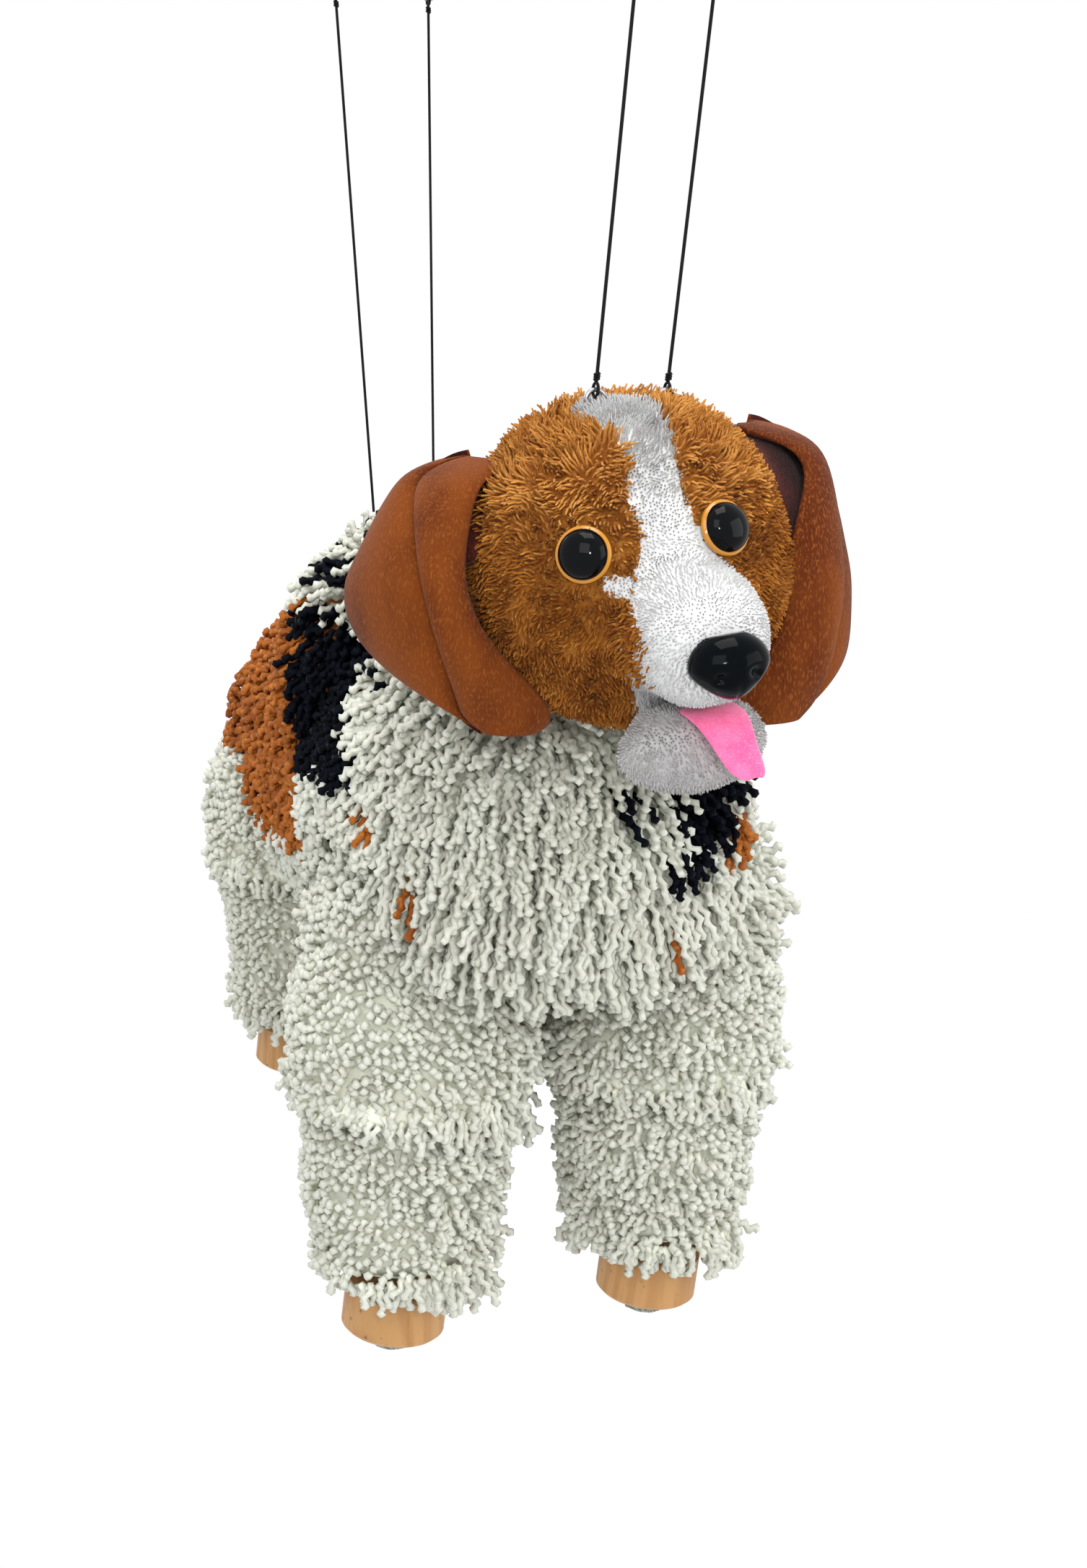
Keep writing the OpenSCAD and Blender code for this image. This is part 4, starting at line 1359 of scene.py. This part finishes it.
    def build(self) -> None:
        """Makes the coat of each body band in its colours, in a left and a right half."""
        rng = np.random.default_rng(self.seed)
        yarn = Yarn()
        for node, main in self.nodes:
            form = node_copy(node)
            gap = self.ruff_gap if main is Tone.WHITE else self.gap
            roots, normals = surface_points(form, gap, rng)
            roots, normals = picked(self.on_skin(roots, normals), roots, normals)
            tones = self.tones(roots, rng)
            lengths, lifts = self.cut(roots)
            roots = roots - self.sunk * normals
            sink(form, self.sunk, self.on_skin)
            for tone, side in product((main, *[t for t in Tone if t is not main]), Side):
                rows = (tones == tone) & (roots[:, 0] * side.value > 0)
                if not rows.any():
                    continue
                name = f"{node}_{tone.value}_{side.name.lower()}"
                strands = yarn.strands(name, *picked(rows, roots, normals, lengths, lifts),
                                       HEAD_ROOM.push, rng)
                backed = tone is main and side is Side.LEFT
                piece = to_object(f"{name}_yarn", joined(form, strands) if backed else strands,
                                  f"yarn_{tone.value}")
                settle(piece, "torso", f"yarn_{tone.value}", *([node] if backed else []))


@dataclass
class Leg:
    """A yarn leg: thigh, shin, cords, wooden foot and glued knot. Sizes are in millimetres."""

    name: str
    hip: Place
    torn_knot: bool = False
    thigh: float = 85.0
    shin: float = 61.5
    rim: float = 70.0
    foot_gap: float = 3.5
    foot_h: float = 20.0
    lean: float = 6.0
    cord_r: float = 2.0
    knot_r: float = 9.4
    knot_h: float = 9.0
    gap: float = 3.1
    sunk: float = 4.5
    backing: float = 8.5
    tuft: float = 4.0
    strand: float = 10.0
    shoulder: float = 5.0
    brown_top: float = -99.0
    set_aside: float = 0.0
    fuller: float = 0.0
    parting: float = -110.0
    parting_rise: float = 3.0
    widest: float = 107.5
    hollow_r: float = 29.0
    hidden: float = 34.0
    most_lift: float = 11.0
    curly: Yarn = Yarn(0.6, 0.45, 1.0, 60.0, 1.75 * MM, 1.0 * MM)
    fringe: Yarn = Yarn(0.3, 0.2, 0.3, 60.0, 1.75 * MM, 1.0 * MM)
    seed: int = 31

    def radial(self, places: Array) -> Array:
        """Sideways offsets of places from the leg's middle line."""
        return places[:, :2] - np.array(self.hip)[:2] * MM

    def outside(self, places: Array, normals: Array) -> Array:
        """Tells which places lie on the side or the round top of the leg, not in its hollows."""
        radial = self.radial(places)
        outward = np.sum(unit(radial) * normals[:, :2], axis=1)
        reach = np.linalg.norm(radial, axis=1)
        return ((outward > 0.25) & (reach > self.hollow_r * MM)) \
            | ((normals[:, 2] > 0.3) & (reach > 5 * MM))

    def narrow(self, paths: Array) -> Array:
        """Keeps the points of strands within the puppet's width."""
        wide = self.widest * MM
        return np.clip(paths, (-wide, -1.0, -1.0), (wide, 1.0, 1.0))

    def coat(self, node: str, top: float, low: float, rng: Chance) -> None:
        """Covers a thigh or a shin with strands.

        Args:
            node: The CAD node, without the leg's name.
            top: Highest root below the hip.
            low: Lowest strand tip below the hip.
            rng: Seeded source of chance.
        """
        full = f"{self.name}_{node}"
        form = node_copy(full)
        roots, normals = surface_points(form, self.gap * MM, rng)
        level = (self.hip[2] * MM - roots[:, 2]) / MM
        under = TORSO.depth(roots) / MM
        keep = self.outside(roots, normals) & (level > top) & (under > -self.hidden)
        roots, normals, level, under = picked(keep, roots, normals, level, under)
        way = unit(self.radial(roots))
        angle = math.radians(self.parting)
        opened_by = way @ np.array([math.cos(angle), math.sin(angle)])
        inner = np.clip(-np.sign(self.hip[0]) * way[:, 0], 0, 1) * np.clip((75 - level) / 15, 0, 1)
        room = low - self.parting_rise * opened_by + rng.normal(0, 1.5, len(roots)) - level
        hem = np.clip((level - level.max() + 14) / 10, 0, 1)
        lengths = self.strand * (1 + 0.4 * noise_at(roots, 55.0)) \
            + self.shoulder * np.clip((25 - level) / 30, 0, 1) - self.set_aside * opened_by
        lengths += np.maximum(0, room - lengths) * hem
        lengths = np.where(under < -6, 7.0, lengths)
        roots, normals, level, room, hem, inner, lengths = picked(
            room > 3.0, roots, normals, level, room, hem, inner, lengths)
        lengths = np.clip(lengths, 6.0, np.maximum(7.0, room * 1.1)) * MM
        lifts = np.interp(room, (4.0, 16.0), (0.4, 0.8)) * (1 - 0.5 * hem)
        lifts = lifts * rng.uniform(0.6, 1.3, len(roots))
        lifts *= np.minimum(1, self.most_lift * MM / lengths)
        height = self.tuft * noise_at(roots, (28, 28, 46)) - self.sunk + self.fuller * inner
        roots = roots + height[:, None] * MM * normals
        sink(form, self.backing * MM, self.outside)
        for face in form.faces:
            below = self.hip[2] - face.calc_center_median().z / MM
            face.material_index = int(below < self.brown_top + 5)
        brown, edge = level < self.brown_top, hem > 0.6
        for slot, yarn, rows in ((0, self.curly, ~brown & ~edge), (0, self.fringe, ~brown & edge),
                                 (1, self.curly, brown)):
            if rows.any():
                strands = yarn.strands(full, *picked(rows, roots, normals, lengths, lifts),
                                       self.narrow, rng)
                form = joined(form, strands, slot)
        piece = to_object(f"{full}_yarn", form, "yarn_white", "yarn_brown")
        settle(piece, full, "yarn_white", full)

    def build_cords(self) -> None:
        """Makes the cords that run down through thigh and shin."""
        x, y, z = self.hip
        for node, top, length in (("thigh", z, self.thigh), ("shin", z - self.thigh, self.shin)):
            full = f"{self.name}_{node}"
            low = top - length + self.cord_r + 0.3
            Cord(f"{full}_cord", full, (x, y, top), (x, y, low), 2 * self.cord_r).build()

    def build_knot(self, rng: Chance) -> None:
        """Makes the glued knot under the foot, with its cord up through the foot."""
        bm = bmesh.new()
        low = -self.foot_gap - self.foot_h
        bmesh.ops.create_cone(
            bm, cap_ends=True, segments=20, radius1=self.cord_r * MM, radius2=self.cord_r * MM,
            depth=(self.foot_h + self.foot_gap + 1.5) * MM, matrix=raised(low / 2 + 0.2))
        lump = bmesh.ops.create_icosphere(
            bm, subdivisions=4, radius=1.0,
            matrix=raised(low - 4.4) @ scaled(self.knot_r, self.knot_r, self.knot_h / 2))
        rough = 2.3 if self.torn_knot else 0.7
        shift = Vector(rng.uniform(0, 9, 3))
        for vert in lump["verts"]:
            way = Vector((vert.co.x, vert.co.y, 0.0)).normalized()
            wave = noise.noise(vert.co * 190.0 + shift) + 0.5 * noise.noise(vert.co * 520.0 + shift)
            vert.co += way * min(0.4, wave * rough) * MM
            vert.co.z += noise.noise(vert.co * 260.0 - shift) * 0.35 * rough * MM
            vert.co.z = min(max(vert.co.z, (low - self.knot_h) * MM), (low - 0.05) * MM)
        x, y, z = self.hip
        ankle = moved((x, y, z - self.thigh - self.shin)) @ turned(self.lean, "Y")
        bmesh.ops.transform(bm, matrix=ankle, verts=bm.verts)
        knot = to_object(f"{self.name}_glued_knot", bm, "knot_grey")
        settle(knot, f"{self.name}_foot", "knot_grey", f"{self.name}_knot")

    def build(self) -> None:
        """Makes every soft piece of the leg and finishes its foot."""
        rng = np.random.default_rng(self.seed + sum(map(ord, self.name)))
        ankle = self.thigh + self.shin
        self.coat("thigh", -60.0, self.rim + 13.0, rng)
        self.coat("shin", self.rim - 4.0, ankle + self.foot_gap + 8.0, rng)
        self.build_cords()
        self.build_knot(rng)
        finish_node(f"{self.name}_foot", "foot_wood")


@dataclass(frozen=True)
class Cord:
    """A straight cord or string between two places, in millimetres."""

    name: str
    body: str
    start: Place
    end: Place
    width: float
    slot: str = "cord_white"
    loops: float = 0.0
    steps: int = 24

    def build(self) -> None:
        """Makes the cord, with a tied loop at both ends if it has them."""
        start, end = Vector(self.start) * MM, Vector(self.end) * MM
        way = (end - start).normalized()
        first, last = start + way * self.loops * MM, end - way * self.loops * MM
        curve = bpy.data.curves.new(f"{self.name}_line", "CURVE")
        curve.dimensions = "3D"
        curve.bevel_depth = self.width / 2 * MM
        curve.bevel_resolution = 3
        curve.use_fill_caps = True
        spline = curve.splines.new("POLY")
        spline.points.add(self.steps - 1)
        for k, point in enumerate(spline.points):
            point.co = (*first.lerp(last, k / (self.steps - 1)), 1)
        curve.materials.append(FINISHES[self.slot])
        cord = linked(f"{self.name}_line", curve)
        settle(cord, self.body, self.slot, self.name)
        extra = [self.knots(start, end, way)] if self.loops else []

    def knots(self, start: Vector, end: Vector, way: Vector) -> Piece:
        """Makes the tied loops, each with a wrapped knot.

        Args:
            start: Middle of the first loop.
            end: Middle of the second loop.
            way: Direction of the string.

        Returns:
            The piece with both loops.
        """
        radius = self.width / 2 * MM
        even = np.ones(self.steps + 1)
        aside = way.orthogonal().normalized()
        other = way.cross(aside)
        rings, wraps = [], []
        for middle, up in ((start, way), (end, -way)):
            base = middle + up * (self.loops + 0.6) * MM
            rings.append([list(middle + (up * math.cos(a) + Vector((0, 1, 0)) * math.sin(a))
                               * self.loops * MM)
                          for a in np.linspace(0, FULL_TURN, self.steps + 1)])
            wraps.append([list(base + up * 2.4 * MM * k / self.steps
                               + (aside * math.cos(k * 0.8) + other * math.sin(k * 0.8))
                               * self.width * 0.7 * MM)
                          for k in range(self.steps + 1)])
        bm = joined(tubes(f"{self.name}_loops", np.array(rings), radius, even),
                    tubes(f"{self.name}_wraps", np.array(wraps), radius * 0.8, even))
        return settle(to_object(f"{self.name}_loops", bm, self.slot), self.body, self.slot)


@dataclass
class Tail:
    """The short yarn tail on the back of the rump. Sizes are in millimetres."""

    hinge: Place = (0.0, 210.966, -319.894)
    length: float = 85.0
    gap: float = 4.0
    hole_r: float = 3.2
    cord_d: float = 4.0
    seed: int = 47

    def behind(self, paths: Array) -> Array:
        """Keeps the points of strands behind the rump."""
        return np.maximum(paths, (-1.0, (self.hinge[1] - 12.0) * MM, -1.0))

    def build(self) -> None:
        """Makes the tail's strands and its cords."""
        rng = np.random.default_rng(self.seed)
        x, y, z = self.hinge
        form = node_copy("tail_fringe")
        roots, normals = surface_points(form, self.gap * MM, rng)
        reach = np.linalg.norm(roots[:, :2] - np.array((x, y)) * MM, axis=1)
        roots, normals = picked(reach > self.hole_r * MM, roots, normals)
        level = z * MM - roots[:, 2]
        lengths = np.clip((self.length + 5) * MM - level, 8 * MM, 24 * MM)
        strands = Yarn().strands("tail", roots, normals, lengths, 0.4, self.behind, rng)
        sink(form, 0.6 * MM, lambda places, _: np.ones(len(places), bool))
        piece = to_object("tail_yarn", joined(form, strands), "yarn_brown")
        settle(piece, "tail", "yarn_brown", "tail_fringe")
        Cord("tail_cord", "tail", (x, y, z), (x, y, z - self.length + 12.3), self.cord_d).build()
        Cord("tail_anchor", "torso", (x, y - 2.3, z), (x, y - 49.5, z), self.cord_d).build()


@dataclass
class Strings:
    """The four strings and the neck cord. Sizes are in millimetres."""

    width: float = 1.2
    loop: float = 2.4
    neck_d: float = 6.0
    ends: tuple[tuple[str, str, Place, Place], ...] = (
        ("head_string_left", "head_strings", (12.5, -132.0, -168.039), (25.452, -130.278, -25.0)),
        ("head_string_right", "head_strings", (-12.5, -132.0, -168.039), (-2.442, -132.719, -25.0)),
        ("rump_string_left", "rump_strings", (13.5, 148.0, -270.071), (8.021, 149.267, -25.0)),
        ("rump_string_right", "rump_strings", (-13.5, 148.0, -270.071), (-33.819, 145.607, -25.0)),
    )
    neck: tuple[Place, Place] = ((0.0, -54.78, -353.72), (0.0, -97.02, -283.31))

    def build(self) -> None:
        """Makes the strings and the neck cord."""
        for name, body, low, top in self.ends:
            Cord(name, body, low, top, self.width, "string_black", self.loop).build()
        Cord("neck_cord", "torso", *self.neck, self.neck_d).build()


def finish_node(node: str, finish: str) -> None:
    """Gives a CAD node that stays in view its finish."""
    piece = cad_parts[node]
    piece.data.materials.clear()
    piece.data.materials.append(FINISHES[finish])
    LOG.info("%s keeps its CAD form in %s", node, finish)


@dataclass
class Frame:
    """The wooden control, the spine and the steel fittings, which keep their CAD forms."""

    nodes: tuple[tuple[str, tuple[str, ...]], ...] = (
        ("control_wood", ("main_bar", "spine_rod")),
        ("control_cross_wood", ("head_bar", "rump_bar", "shoulder_beam", "hip_beam")),
        ("steel", ("bar_screws", "head_bar_eyes", "rump_bar_eyes", "head_eyelets", "rump_eyelets")),
        ("washer_plastic", ("eye_washers",)),
    )

    def build(self) -> None:
        """Finishes every CAD node that shows its own form."""
        for finish, nodes in self.nodes:
            for node in nodes:
                finish_node(node, finish)


@dataclass(frozen=True)
class Lamp:
    """A soft square lamp aimed at the puppet."""

    name: str
    place: Place
    power: float
    size: float

    def build(self, target: Vector) -> None:
        """Adds the lamp, pointing at a target."""
        light = bpy.data.lights.new(self.name, "AREA")
        light.energy = self.power
        light.size = self.size
        lamp = linked(self.name, light)
        lamp.location = self.place
        lamp.rotation_euler = (target - lamp.location).to_track_quat("-Z", "Y").to_euler()


@dataclass
class Studio:
    """Camera, lamps, pale floor and white surroundings. Sizes are in metres."""

    eye: Place = (-0.2523, -0.7868, -0.1142)
    azimuth: float = -19.0
    pitch: float = 15.0
    roll: float = 1.5
    lens: float = 48.6
    floor_place: Place = (0.0, 0.03, -1.0)
    floor_r: float = 0.34
    target: Place = (0.0, -0.02, -0.32)
    lamps: tuple[Lamp, ...] = (
        Lamp("key", (-0.9, -1.5, 0.75), 8.5, 1.0),
        Lamp("fill", (1.3, -1.0, 0.1), 9.0, 1.2),
        Lamp("top", (0.0, -0.2, 1.3), 15.0, 1.0),
        Lamp("back", (-0.5, 1.5, 0.3), 9.0, 1.0),
        Lamp("glint", (-0.22, -0.95, 0.02), 1.6, 0.07),
    )

    def camera(self) -> None:
        """Adds the camera at the photograph's viewing angle."""
        az, pitch, roll = (math.radians(v) for v in (self.azimuth, self.pitch, self.roll))
        flat = Vector((math.cos(az), math.sin(az), 0))
        look = Vector((-math.sin(az) * math.cos(pitch), math.cos(az) * math.cos(pitch),
                       -math.sin(pitch)))
        rise = flat.cross(look)
        right = flat * math.cos(roll) + rise * math.sin(roll)
        up = rise * math.cos(roll) - flat * math.sin(roll)
        data = bpy.data.cameras.new("camera")
        data.lens = self.lens
        data.sensor_width = 36.0
        data.sensor_fit = "AUTO"
        data.clip_start = 0.01
        camera = linked("camera", data)
        turn = Matrix((right, up, -look)).transposed().to_4x4()
        camera.matrix_world = Matrix.Translation(self.eye) @ turn
        bpy.context.scene.camera = camera

    def floor(self) -> None:
        """Adds a pale round floor under the puppet."""
        bm = bmesh.new()
        bmesh.ops.create_circle(bm, cap_ends=True, segments=96, radius=self.floor_r,
                                matrix=Matrix.Translation(self.floor_place))
        floor = to_object("floor", bm, "floor_pale", smooth=False)

    def world(self) -> None:
        """Makes the surroundings white for the camera and mild for the light."""
        world = bpy.data.worlds.new("studio")
        world.use_nodes = True
        world.node_tree.nodes.clear()
        graph = Graph(world.node_tree)
        path = graph.add("ShaderNodeLightPath")
        seen = path.outputs["Is Camera Ray"]
        for kind in ("Is Glossy Ray", "Is Transmission Ray"):
            seen = graph.add("ShaderNodeMath", {0: seen, 1: path.outputs[kind]},
                             operation="MAXIMUM").outputs[0]
        mild, white = (graph.add("ShaderNodeBackground", {"Color": colour, "Strength": 1.0})
                       for colour in ((0.95, 0.97, 1.0, 1), (1, 1, 1, 1)))
        mixed = graph.add("ShaderNodeMixShader", {0: seen, 1: mild.outputs[0], 2: white.outputs[0]})
        graph.add("ShaderNodeOutputWorld", {"Surface": mixed.outputs[0]})
        bpy.context.scene.world = world

    def build(self) -> None:
        """Sets the whole stage."""
        self.camera()
        self.world()
        self.floor()
        for lamp in self.lamps:
            lamp.build(Vector(self.target))
        bpy.context.scene.view_settings.view_transform = "Standard"


HEAD = Head()
TORSO = Torso()
HEAD_ROOM = Room(HEAD.centre, 60.0)


def main() -> None:
    """Builds the stage and every sub-assembly in order."""
    logging.basicConfig(level=logging.INFO, format="%(name)s: %(message)s")
    noise.seed_set(NOISE_SEED)
    for assembly in (
        Studio(), Strings(), Frame(), HEAD,
        Ear(Side.LEFT, reach=14.5, flare=3.5, rise=12.0, curl=14.0, corner=4.5, notch=14.0),
        Ear(Side.RIGHT, widen=5.0),
        TORSO,
        Leg("front_left", (54.0, -50.0, -373.0), parting=-140.0, parting_rise=8.0, strand=9.5,
            sunk=5.5, shoulder=15.0, torn_knot=True, fuller=3.5),
        Leg("front_right", (-54.0, -50.0, -373.0), parting=-155.0, parting_rise=11.0, sunk=5.5,
            set_aside=8.0, fuller=3.5),
        Leg("hind_left", (49.0, 148.0, -339.5), sunk=6.0, strand=9.0, shoulder=-3.0,
            brown_top=10.0),
        Leg("hind_right", (-49.0, 148.0, -339.5), parting=-155.0, parting_rise=7.0, sunk=6.0,
            strand=9.0, shoulder=-3.0, set_aside=3.0, brown_top=10.0),
        Tail(),
    ):
        assembly.build()
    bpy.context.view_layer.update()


if __name__ == "__main__":
    main()
